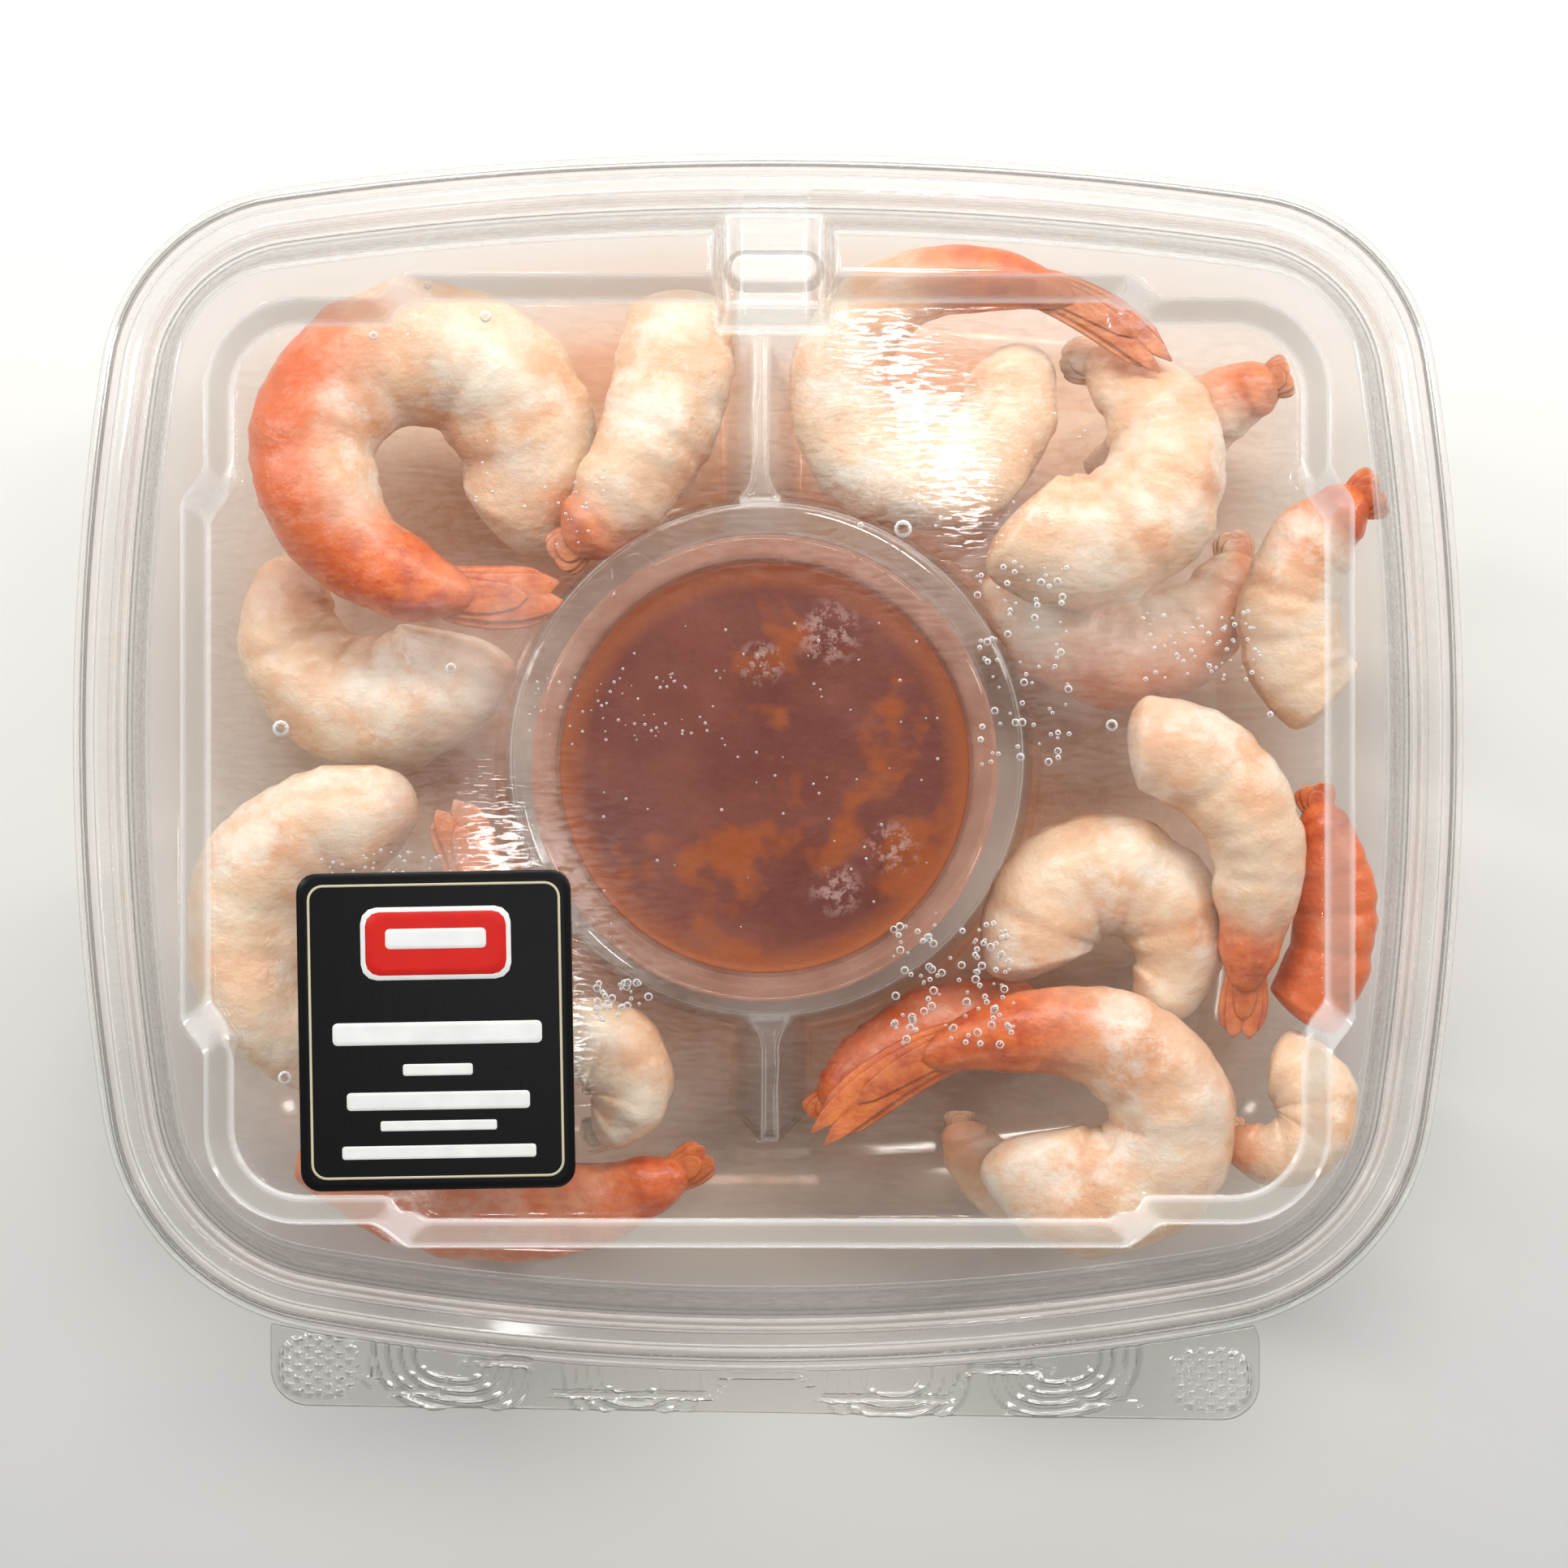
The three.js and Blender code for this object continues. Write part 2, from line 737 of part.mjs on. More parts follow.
addPiece("tray", makeTray(), "clearPlastic");
addPiece("lid", makeLid(), "clearPlastic");
addPiece("tear_strip", makeStrip(), "clearPlastic");
addPiece("label", makeLabel(), "labelPrint");
addPiece("sauce_cup", makeCup(), "frostedPlastic");
addPiece("cup_film", makeFilm(), "sealingFilm");
addPiece("sauce", makeSauce(), "sauce");
shrimps.forEach((shrimp, i) => {
  addPiece(`shrimp_${String(i + 1).padStart(2, "0")}`, makeShrimp(shrimp), "shrimp");
});

export default group;
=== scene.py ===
import math
import random

import bmesh
import bpy
from mathutils import Matrix, Vector, noise
from mathutils.geometry import intersect_sphere_sphere_2d


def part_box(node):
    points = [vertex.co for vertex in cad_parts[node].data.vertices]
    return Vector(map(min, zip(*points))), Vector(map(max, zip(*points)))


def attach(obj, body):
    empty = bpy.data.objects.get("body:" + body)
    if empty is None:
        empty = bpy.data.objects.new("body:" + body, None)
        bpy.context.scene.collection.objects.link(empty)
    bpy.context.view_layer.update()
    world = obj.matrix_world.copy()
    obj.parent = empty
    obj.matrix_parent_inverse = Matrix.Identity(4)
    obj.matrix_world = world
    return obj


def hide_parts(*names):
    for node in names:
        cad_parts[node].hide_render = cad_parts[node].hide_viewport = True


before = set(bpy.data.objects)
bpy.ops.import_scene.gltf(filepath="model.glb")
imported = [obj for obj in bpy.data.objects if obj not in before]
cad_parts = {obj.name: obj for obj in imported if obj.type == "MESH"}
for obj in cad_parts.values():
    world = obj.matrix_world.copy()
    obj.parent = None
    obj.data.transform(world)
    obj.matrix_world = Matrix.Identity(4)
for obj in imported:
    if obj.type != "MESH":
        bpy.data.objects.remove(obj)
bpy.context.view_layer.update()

# ---- Table, light and camera ----
# The pack stands on a pale matt table top, near a wide window at its back. Two ceiling lamps
# hang well above it and glint in the flat plastic. The camera hangs straight above the pack.

mm = 0.001
scene = bpy.context.scene
scene.view_settings.view_transform = "Standard"
scene.cycles.transparent_max_bounces = 24
scene.cycles.max_bounces = 4
scene.cycles.diffuse_bounces = 2
scene.cycles.glossy_bounces = 2


def put(tree, kind, sockets=None, **settings):
    """Adds a shader node. A socket's value is a number, a colour, another node or its output."""
    node = tree.nodes.new("ShaderNode" + kind)
    for setting, value in settings.items():
        setattr(node, setting, value)
    for name, value in (sockets or {}).items():
        socket = node.inputs[name]
        if isinstance(value, bpy.types.Node):
            value = next(output for output in value.outputs if output.enabled)
        if isinstance(value, bpy.types.NodeSocket):
            tree.links.new(value, socket)
        else:
            socket.default_value = value
    return node


def fade(tree, factor, *stops):
    """A colour ramp through (place, colour) stops; a plain number stands for a grey."""
    ramp = put(tree, "ValToRGB", {"Fac": factor})
    elements = ramp.color_ramp.elements
    while len(elements) < len(stops):
        elements.new(0.5)
    for element, (place, colour) in zip(elements, stops):
        element.position = place
        shade = (colour,) * 3 if isinstance(colour, (int, float)) else colour
        element.color = (*shade, 1)
    return ramp


def new_finish(name):
    finish = bpy.data.materials.new(name)
    finish.use_nodes = True
    finish.node_tree.nodes.clear()
    return finish


def show(tree, shader):
    put(tree, "OutputMaterial", {"Surface": shader})


def ranged(tree, value, low, high, to_low=0.0, to_high=1.0):
    """A number moved from one range into another, and held inside it."""
    return put(tree, "MapRange", {
        "Value": value, "From Min": low, "From Max": high, "To Min": to_low, "To Max": to_high,
    })


def mixed(tree, share, first, second, blend_type="MIX"):
    """One colour laid over another."""
    sockets = {"Fac": share, "Color1": first, "Color2": second}
    return put(tree, "MixRGB", sockets, blend_type=blend_type)


def bumped(tree, height, strength, distance, **more):
    """A surface with fine relief; the distance is in metres."""
    return put(tree, "Bump", {"Height": height, "Strength": strength, "Distance": distance, **more})


def own_place(tree):
    return put(tree, "TexCoord").outputs["Object"]


def part_of(tree, vector, axis):
    return put(tree, "SeparateXYZ", {"Vector": vector}).outputs[axis]


def spots_on(tree, scale, detail=2.0, roughness=0.5, shift=(0, 0, 0)):
    """Noise over the piece's own coordinates; the scale is in patches a metre."""
    moved = put(tree, "Mapping", {"Vector": own_place(tree), "Location": shift})
    settings = {"Vector": moved, "Scale": scale, "Detail": detail, "Roughness": roughness}
    return put(tree, "TexNoise", settings).outputs["Fac"]


table_size = 3.0
table_cells = 12
table_mesh = bmesh.new()
bmesh.ops.create_grid(table_mesh, x_segments=table_cells, y_segments=table_cells, size=table_size / 2)
table_data = bpy.data.meshes.new("table_top")
table_mesh.to_mesh(table_data)
table_mesh.free()
table_top = bpy.data.objects.new("table_top", table_data)
scene.collection.objects.link(table_top)

table_finish = new_finish("pale matt table")
tree = table_finish.node_tree
table_tone_and_shade = fade(tree, spots_on(tree, 9), (0.3, (0.86, 0.86, 0.84)), (0.7, (0.89, 0.89, 0.87)))
# The table's colour is painted darker towards the front: painted shade for the window light's falloff, over
# the table's own faint mottling.
painted_light_to_back = ranged(tree, part_of(tree, own_place(tree), "Y"), -0.16, 0.06)
table_tone_and_shade = mixed(tree, 1.0, table_tone_and_shade, fade(tree, painted_light_to_back, (0.0, 0.80), (1.0, 0.985)), "MULTIPLY")
table_grain = bumped(tree, spots_on(tree, 900), 0.1, 0.0002)
show(tree, put(tree, "BsdfPrincipled", {
    "Base Color": table_tone_and_shade,
    "Roughness": 0.55,
    "Specular IOR Level": 0.25,
    "Normal": table_grain,
}))
table_data.materials.append(table_finish)

# The room is brightest low down at the back and the sides, and darker at the front.
room = bpy.data.worlds.new("room")
scene.world = room
room.use_nodes = True
tree = room.node_tree
tree.nodes.clear()
heading = put(tree, "SeparateXYZ", {"Vector": put(tree, "TexCoord").outputs["Generated"]})
sky = fade(
    tree, heading.outputs["Z"],
    (0.0, (1.25, 1.24, 1.22)), (0.3, (1.5, 1.49, 1.47)), (0.5, (0.95, 0.95, 0.94)), (0.75, 0.62), (1.0, 0.40),
)
from_front = ranged(tree, heading.outputs["Y"], -1.0, 1.0)
darker = fade(tree, from_front, (0.1, 0.3), (0.4, 0.85), (1.0, 1.0))
dimmed = mixed(tree, 1.0, sky, darker, "MULTIPLY")
put(tree, "OutputWorld", {"Surface": put(tree, "Background", {"Color": dimmed, "Strength": 0.33})})


def add_light(name, power, size, place, aim, turn=0.0, colour=(1, 1, 1)):
    """A soft rectangular light at a place in metres, facing the aim."""
    light = bpy.data.lights.new(name, "AREA")
    light.shape = "RECTANGLE"
    light.size, light.size_y = size
    light.energy = power
    light.color = colour
    lamp = bpy.data.objects.new(name, light)
    heading = (Vector(aim) - Vector(place)).to_track_quat("-Z", "Y")
    spin = Matrix.Rotation(math.radians(turn), 4, "Z")
    lamp.matrix_world = Matrix.Translation(place) @ heading.to_matrix().to_4x4() @ spin
    scene.collection.objects.link(lamp)


add_light("window", 1.8, (0.5, 0.09), (0.03, 0.34, 0.38), (0, 0.04, 0), colour=(1, 0.99, 0.965))
add_light("left_lamp", 1.4, (0.07, 0.5), (-0.5, 0.22, 0.42), (0, 0.02, 0))
add_light("right_lamp", 1.3, (0.07, 0.5), (0.5, 0.22, 0.45), (0, 0.02, 0))
add_light("front_lamp", 0.4, (0.5, 0.02), (0.1, -0.5, 0.35), (0, 0, 0))
add_light("ceiling_lamp_right", 0.28, (0.022, 0.12), (0.065, 0.181, 0.9), (0.065, 0.18, 0), turn=32)
add_light("ceiling_lamp_left", 0.16, (0.018, 0.12), (-0.119, -0.070, 0.9), (-0.119, -0.071, 0), turn=20)

camera = bpy.data.objects.new("camera", bpy.data.cameras.new("camera"))
camera.location = (2.1 * mm, 0.375 * mm, 364 * mm)
camera.data.sensor_width = 36
camera.data.lens = 57.2
camera.data.clip_start = 0.01
scene.collection.objects.link(camera)
scene.camera = camera

# ---- Tray ----
# The lower half of the pack: one clear sheet, heated and drawn down into a deep bowl. A ring
# for the sauce cup, two dividers and a post are pushed up from below in the same sheet. Its
# flange has a ridge and a channel that the lid's lip snaps into.

# The pack's own millimetres have their middle where the rim is widest.
rim_back = 80.5
pack_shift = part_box("tray")[1].y / mm - rim_back
to_model = Matrix.Translation((0, pack_shift * mm, 0)) @ Matrix.Scale(mm, 4)

pack_half_x = 92.1
side_bow, side_middle = 325, 3.5
end_bows = {1: (460, 27.4), -1: (350, 33.0)}
sheet_thickness = 0.6
panel_half = {"corner": Vector((71.8, 59)), "middle": Vector((74.8, 62))}
panel_step = Vector((48.5, 35.5))
step_reach = 2.8
panel_corner = 12.0
corner_turns = 14


def smooth(share):
    share = max(0.0, min(1.0, share))
    return share * share * (3 - 2 * share)


def higher(a, b, reach):
    """The greater of two heights, with a soft bend where they meet."""
    share = max(0.0, min(1.0, 0.5 + 0.5 * (a - b) / reach))
    return b + (a - b) * share + reach * share * (1 - share)


def end_centre(way):
    return Vector((0, way * (rim_back - end_bows[way][0])))


def side_centre(way):
    return Vector((way * (pack_half_x - side_bow), side_middle))


def corner_centre(way_x, way_y):
    bow, corner = end_bows[way_y]
    meets = intersect_sphere_sphere_2d(
        end_centre(way_y), bow - corner, side_centre(way_x), side_bow - corner
    )
    return max(meets, key=lambda spot: spot.x * way_x + spot.y * way_y)


def spread_out(half, step, fine, middle):
    """Places from -half to half, close together near the middle and at the panel's step."""
    places = [0.0]
    while places[-1] < half - fine:
        here = places[-1]
        clear = min(max(here - middle, 0), max(abs(here - step) - step_reach, 0))
        places.append(min(here + min(max(fine, 0.35 * clear), 4.0), half))
    places[-1] = half
    return [-place for place in reversed(places[1:])] + places


def panel_station(along, axis, way):
    """A point on the lid panel's edge and how it moves as the panel's outline grows."""
    across = 1 - axis
    half = panel_half["corner"][axis] - panel_corner
    step = panel_step[axis]
    near = smooth((step + step_reach - abs(along)) / (2 * step_reach))
    low, high = panel_half["corner"][across], panel_half["middle"][across]
    point, growth = Vector((0, 0)), Vector((0, 0))
    point[axis] = along
    point[across] = way * (low + (high - low) * near)
    slide = abs(along) / step if abs(along) < step else (half - abs(along)) / (half - step)
    growth[axis] = math.copysign(slide, along) if along else 0.0
    growth[across] = way
    return point, growth


def rim_stations():
    """Stations once round the pack: rim point, way out, panel point, panel growth."""
    stations = []

    def add_corner(way_x, way_y, side_first):
        corner = end_bows[way_y][1]
        centre = corner_centre(way_x, way_y)
        side_out = (centre - side_centre(way_x)).normalized()
        end_out = (centre - end_centre(way_y)).normalized()
        first, last = (side_out, end_out) if side_first else (end_out, side_out)
        panel_centre = Vector((way_x, way_y)) * (panel_half["corner"] - Vector((panel_corner,) * 2))
        square = [Vector((way_x, 0)), Vector((0, way_y))]
        panel_first, panel_last = square if side_first else square[::-1]
        for turn in range(1, corner_turns):
            share = turn / corner_turns
            out = first.slerp(last, share)
            panel_out = panel_first.slerp(panel_last, share)
            stations.append(
                (centre + out * corner, out, panel_centre + panel_out * panel_corner, panel_out)
            )

    def add_side(way):
        half = panel_half["corner"].y - panel_corner
        tangents = []
        for way_y in (-1, 1):
            centre = corner_centre(way, way_y)
            out = (centre - side_centre(way)).normalized()
            tangents.append(out.y)
        for along in spread_out(half, panel_step.y, 0.5, 0):
            along *= way
            share = (along + half) / (2 * half)
            rise = tangents[0] + (tangents[1] - tangents[0]) * share
            out = Vector((way * math.sqrt(1 - rise * rise), rise))
            point, growth = panel_station(along, 1, way)
            stations.append((side_centre(way) + out * side_bow, out, point, growth))

    def add_end(way):
        half = panel_half["corner"].x - panel_corner
        bow = end_bows[way][0]
        tangent = abs((corner_centre(1, way) - end_centre(way)).normalized().x)
        for along in spread_out(half, panel_step.x, 0.5, 9):
            along *= -way
            run = tangent * along / half
            out = Vector((run, way * math.sqrt(1 - run * run)))
            point, growth = panel_station(along, 0, way)
            stations.append((end_centre(way) + out * bow, out, point, growth))

    add_side(1)
    add_corner(1, 1, True)
    add_end(1)
    add_corner(-1, 1, False)
    add_side(-1)
    add_corner(-1, -1, True)
    add_end(-1)
    add_corner(1, -1, False)
    return stations


stations = rim_stations()


def eased(path, bend, steps=3, longest=None):
    """A path of (place, height) with its corners rounded, and its long runs divided."""
    points = [Vector(point) for point in path]
    rounded = [points[0]]
    for before, here, after in zip(points, points[1:], points[2:]):
        start = here + (before - here).normalized() * min(bend, (before - here).length * 0.45)
        finish = here + (after - here).normalized() * min(bend, (after - here).length * 0.45)
        for i in range(steps + 1):
            share = i / steps
            rounded.append(
                start * (1 - share) ** 2 + here * 2 * share * (1 - share) + finish * share**2
            )
    rounded.append(points[-1])
    if longest is None:
        return rounded
    divided = [rounded[0]]
    for before, after in zip(rounded, rounded[1:]):
        parts = max(1, math.ceil(abs(after.x - before.x) / longest))
        divided += [before.lerp(after, (i + 1) / parts) for i in range(parts)]
    return divided


def loft(levels, mesh=None, marks=None):
    """A sheet through closed rings of points, each new ring extruded from the one before.
    Marks give each point a value of a named attribute."""
    mesh = mesh or bmesh.new()
    slots, floats = mesh.verts.layers.int, mesh.verts.layers.float
    marks = marks or {}
    if not slots.get("slot"):
        slots.new("slot")
    for name in marks:
        if not floats.get(name):
            floats.new(name)
    slot = slots.get("slot")
    layers = {name: floats.get(name) for name in marks}

    def set_point(vert, row):
        i = vert[slot]
        vert.co = levels[row][i]
        for name, layer in layers.items():
            vert[layer] = marks[name][row][i]

    ring = bmesh.ops.create_circle(mesh, segments=len(levels[0]), radius=1)["verts"]
    for i, vert in enumerate(ring):
        vert[slot] = i
        set_point(vert, 0)
    edges = list({edge for vert in ring for edge in vert.link_edges})
    for row in range(1, len(levels)):
        grown = bmesh.ops.extrude_edge_only(mesh, edges=edges)["geom"]
        for item in grown:
            if isinstance(item, bmesh.types.BMVert):
                set_point(item, row)
        edges = [item for item in grown if isinstance(item, bmesh.types.BMEdge) and item.is_boundary]
    return mesh, edges


def close_sheet(mesh, edges):
    """Fills the middle of a lofted sheet and turns its faces up."""
    bmesh.ops.edgeloop_fill(mesh, edges=edges)
    bmesh.ops.recalc_face_normals(mesh, faces=mesh.faces)
    mesh.normal_update()
    middle = max(mesh.faces, key=lambda face: len(face.verts))
    if middle.normal.z < 0:
        bmesh.ops.reverse_faces(mesh, faces=mesh.faces)


def settle(mesh, name, finish, node=None):
    """A mesh made in the pack's millimetres becomes a piece of the model."""
    bmesh.ops.transform(mesh, matrix=to_model, verts=mesh.verts)
    for face in mesh.faces:
        face.smooth = True
    data = bpy.data.meshes.new(name)
    mesh.to_mesh(data)
    mesh.free()
    data.materials.append(finish)
    piece = bpy.data.objects.new(name, data)
    scene.collection.objects.link(piece)
    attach(piece, "root")
    if node:
        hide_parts(node)
    return piece


def thicken(piece, thickness):
    wall = piece.modifiers.new("sheet", "SOLIDIFY")
    wall.thickness = thickness * mm
    wall.offset = -1
    wall.use_quality_normals = True


def joined(tree, operation, first, second):
    """Two numbers made into one, such as by MULTIPLY, ADD or MAXIMUM."""
    return put(tree, "Math", {0: first, 1: second}, operation=operation)


def over(tree, share, first, second):
    """One surface laid over another."""
    return put(tree, "MixShader", {0: share, 1: first, 2: second})


def dull(tree, colour):
    return put(tree, "BsdfDiffuse", {"Color": (*colour, 1)})


def see_through(tree, tint):
    """Lets light straight through, tinted by a colour or by a node."""
    return put(tree, "BsdfTransparent", {"Color": (*tint, 1) if isinstance(tint, tuple) else tint})


def height_in(tree):
    """How high a point of the piece lies, in metres."""
    return part_of(tree, own_place(tree), "Z")


def far_from(tree, spot):
    """How far a point of the piece lies from a spot, in metres."""
    sockets = {0: own_place(tree), 1: spot}
    return put(tree, "VectorMath", sockets, operation="DISTANCE").outputs["Value"]


def flatness(tree):
    """One where the sheet lies flat and zero where it stands upright."""
    normal = put(tree, "NewGeometry").outputs["Normal"]
    return put(tree, "Math", {0: part_of(tree, normal, "Z")}, operation="ABSOLUTE")


def passing_through(tree):
    """One for light on its way to a lamp or off a dull surface, which needs no gloss."""
    path = put(tree, "LightPath").outputs
    return joined(tree, "MAXIMUM", path["Is Shadow Ray"], path["Is Diffuse Ray"])


def clear_shader(
    tree, face_tint, edge_tint, surface, roughness, shine=0.035, slope=0.96,
    line_heights=None, painted_bend_highlight=0.0, painted_highlight_above=0.0,
):
    """Lets light straight through, tinted where it is seen edge on, with gloss on both faces.
    Steep walls between the line heights are painted darker as painted shade, and where the sheet bends a pale
    matt coat is painted on as a painted highlight."""
    edge_on = put(tree, "LayerWeight", {"Blend": 0.5, "Normal": surface}).outputs["Facing"]
    slanted = tuple(slope * face for face in face_tint)
    steep = tuple(slope * face * 0.95 for face in face_tint)
    halfway = tuple((face + edge) / 2 for face, edge in zip(steep, edge_tint))
    tint = fade(
        tree, edge_on,
        (0.08, face_tint), (0.38, slanted), (0.75, steep), (0.92, halfway), (1.0, edge_tint),
    )
    # Between the line heights the steep walls are painted darker: painted shade for the dark lines along the
    # rims.
    if line_heights:
        level = height_in(tree)
        above = joined(tree, "GREATER_THAN", level, line_heights[0] * mm)
        below = joined(tree, "LESS_THAN", level, line_heights[1] * mm)
        narrow = joined(tree, "MULTIPLY", above, below)
        dark = fade(tree, edge_on, (0.6, 1.0), (0.84, 0.5), (1.0, 0.36))
        tint = mixed(tree, narrow, tint, dark, "MULTIPLY")
    gloss = put(tree, "BsdfGlossy", {"Color": (1, 1, 1, 1), "Roughness": roughness, "Normal": surface})
    share = ranged(tree, joined(tree, "POWER", edge_on, 4.0), 0.0, 1.0, shine, 0.35)
    seen = over(tree, share, see_through(tree, tint), gloss)
    # Where the sheet bends, a pale matt coat is painted in: a painted highlight for the lamps' glints along
    # the bends.
    if painted_bend_highlight:
        bend = fade(tree, flatness(tree), (0.62, 0.0), (0.7, painted_bend_highlight), (0.86, painted_bend_highlight), (0.94, 0.0))
        high = joined(tree, "GREATER_THAN", height_in(tree), painted_highlight_above * mm)
        seen = over(tree, joined(tree, "MULTIPLY", bend, high), seen, dull(tree, (0.95, 0.945, 0.935)))
    return over(tree, passing_through(tree), seen, see_through(tree, face_tint))


def rippled(tree, ripple, grain):
    """Faint broad ripples and a fine crosswise grain, as moulding leaves in a sheet."""
    broad = bumped(tree, spots_on(tree, 38, 1), ripple, 0.001)
    stretched = put(tree, "Mapping", {"Vector": own_place(tree), "Scale": (0.35, 1.5, 1)})
    fine = put(tree, "TexNoise", {"Vector": stretched, "Scale": 1100, "Detail": 1}).outputs["Fac"]
    return bumped(tree, fine, grain, 0.0001, Normal=broad), fine


tray_wall = [
    (0, 34), (1.1, 34), (1.5, 36.6), (2.3, 36.6), (2.7, 34.4), (5, 34.4), (5.9, 31.5), (7.6, 22),
    (10.6, 12.5), (15.5, 5), (21, 1.6), (25, 0.6), (26.8, 0.6),
]
tray_floor = 0.6
ring_centre = Vector((-0.2, 0.3))
ring_section = [(40.5, 0.6), (38.6, 0.6), (34.5, 31), (30.1, 31), (26.6, 0.6), (24, 0.6)]
floor_middle = 6
divider_top, divider_half, divider_slope, flare = 30, 1.2, 7.2, 4.5
divider_end, divider_end_slope = 3, 10
dividers = [(-1.1, 32, 62), (0.2, -54, -32)]
post = {"x": 0.75, "top": 32.4, "half": 4.9, "front": 57.8, "side_slope": 17, "front_slope": 6}


def raised_height(x, y):
    """Height of the dividers and the post over a point, far below the floor away from them."""
    from_ring = math.hypot(x - ring_centre.x, y - ring_centre.y) - ring_section[2][0]
    near = max(0.0, min(1.0, 1 - from_ring / flare))
    widening = flare * (1 - math.sqrt(1 - near * near))
    top = -50.0
    for middle, front, back in dividers:
        if front - 8 < y < back:
            side = max(0, abs(x - middle) - divider_half - widening) * divider_slope
            end = max(0, front + divider_end - y) * divider_end_slope
            top = max(top, divider_top - side - end)
    side = max(0, abs(x - post["x"]) - post["half"]) * post["side_slope"]
    end = max(0, post["front"] - y) * post["front_slope"]
    return max(top, post["top"] - side - end)


def raised(x, y, height):
    return Vector((x, y, higher(height, raised_height(x, y), 1.0)))


tray_levels = []
for inset, height in eased(tray_wall[:7], 0.35):
    tray_levels.append([(*(rim - out * inset), height) for rim, out, _, _ in stations])
for inset, height in eased(tray_wall[6:], 3.5, longest=1.0)[1:]:
    tray_levels.append([raised(*(rim - out * inset), height) for rim, out, _, _ in stations])
floor_edge = [rim - out * tray_wall[-1][0] for rim, out, _, _ in stations]
ring_ways = [(point - ring_centre).normalized() for point in floor_edge]
floor_rows = 15
for row in range(1, floor_rows):
    share = row / floor_rows
    level = []
    for point, way in zip(floor_edge, ring_ways):
        spot = point.lerp(ring_centre + way * ring_section[0][0], share)
        level.append(raised(*spot, tray_floor))
    tray_levels.append(level)
for radius, height in eased(ring_section, 0.9, longest=0.8):
    level = []
    for way in ring_ways:
        spot = ring_centre + way * radius
        outside = radius > ring_section[2][0]
        level.append(raised(*spot, height) if outside else Vector((*spot, height)))
    tray_levels.append(level)
tray_levels.append([Vector((*(ring_centre + way * floor_middle), tray_floor)) for way in ring_ways])

tray_finish = new_finish("clear tray sheet")
tree = tray_finish.node_tree
tray_surface, _ = rippled(tree, 0.1, 0.03)
dry = clear_shader(
    tree, (0.998, 0.992, 0.984), (0.75, 0.73, 0.71), tray_surface, 0.05, slope=0.99,
    line_heights=(33.2, 36.9), painted_bend_highlight=0.25, painted_highlight_above=28.5,
)
# Low in the tray, and more so round the ring, the sheet is tinted warmer and darker: partly juice, partly
# painted shade and painted warm bounce light from the shrimps.
reddish = ranged(tree, far_from(tree, (0, 0.02, 0)), 0.072, 0.050)
pale_juice_and_shade = clear_shader(tree, (0.965, 0.90, 0.85), (0.68, 0.58, 0.50), tray_surface, 0.12)
red_juice_and_shade = clear_shader(tree, (0.96, 0.815, 0.72), (0.66, 0.49, 0.38), tray_surface, 0.12)
wet_and_shaded = over(tree, reddish, pale_juice_and_shade, red_juice_and_shade)
juice_and_painted_shade = ranged(tree, height_in(tree), 0.020, 0.002)
juice_and_painted_shade = joined(tree, "MULTIPLY", juice_and_painted_shade, fade(tree, spots_on(tree, 22, 2), (0.3, 0.6), (0.6, 1.0)))
show(tree, over(tree, juice_and_painted_shade, dry, wet_and_shaded))
tray_mesh, tray_edges = loft(tray_levels)
close_sheet(tray_mesh, tray_edges)
tray_sheet = settle(tray_mesh, "tray_sheet", tray_finish, "tray")
thicken(tray_sheet, sheet_thickness)

# ---- Lid ----
# The upper half: a clear sheet drawn up into a shoulder, with a large sunk panel whose sides
# step out in the middle. A sunk pocket through the back shoulder holds a raised button, and
# its lip snaps into the tray's channel.

lid_wall = [
    (3.05, 35.3), (5.9, 35.3), (6.4, 33.6), (7, 33.6), (7.6, 35.3), (8.8, 36.6), (12.1, 45.2),
    (12.9, 46.2), (13.4, 46.2),
]
shoulder_top, panel_top = 46.2, 42.4
panel_wall = [(0.9, 46.2), (-0.1, 46.2), (-2.8, 42.4), (-4.2, 42.4)]
pocket = {"left": -5.6, "right": 7.2, "front": 60.3, "floor": 36.5, "side": 0.125, "ramp": 0.78}
knobs = [
    (way_x * 70.4, way_y * 36.4) for way_x in (-1, 1) for way_y in (-1, 1)
] + [(way_x * 47.2, way_y * 57.6) for way_x in (-1, 1) for way_y in (-1, 1)]
knob_radius, knob_height = 3.0, 0.9


def lower(a, b, reach):
    return -higher(-a, -b, reach)


def lid_point(x, y, height):
    """The lid's surface, lowered in the pocket and raised at the knobs of the panel's steps."""
    for knob_x, knob_y in knobs:
        away = math.hypot(x - knob_x, y - knob_y) / knob_radius
        if away < 1:
            height = max(height, panel_top + knob_height * (1 - away * away) ** 2)
    if y > 40:
        side = max(pocket["left"] - x, x - pocket["right"], 0) / pocket["side"]
        ramp = max(pocket["front"] - y, 0) / pocket["ramp"]
        height = lower(height, pocket["floor"] + max(side, ramp), 0.5)
    return Vector((x, y, height))


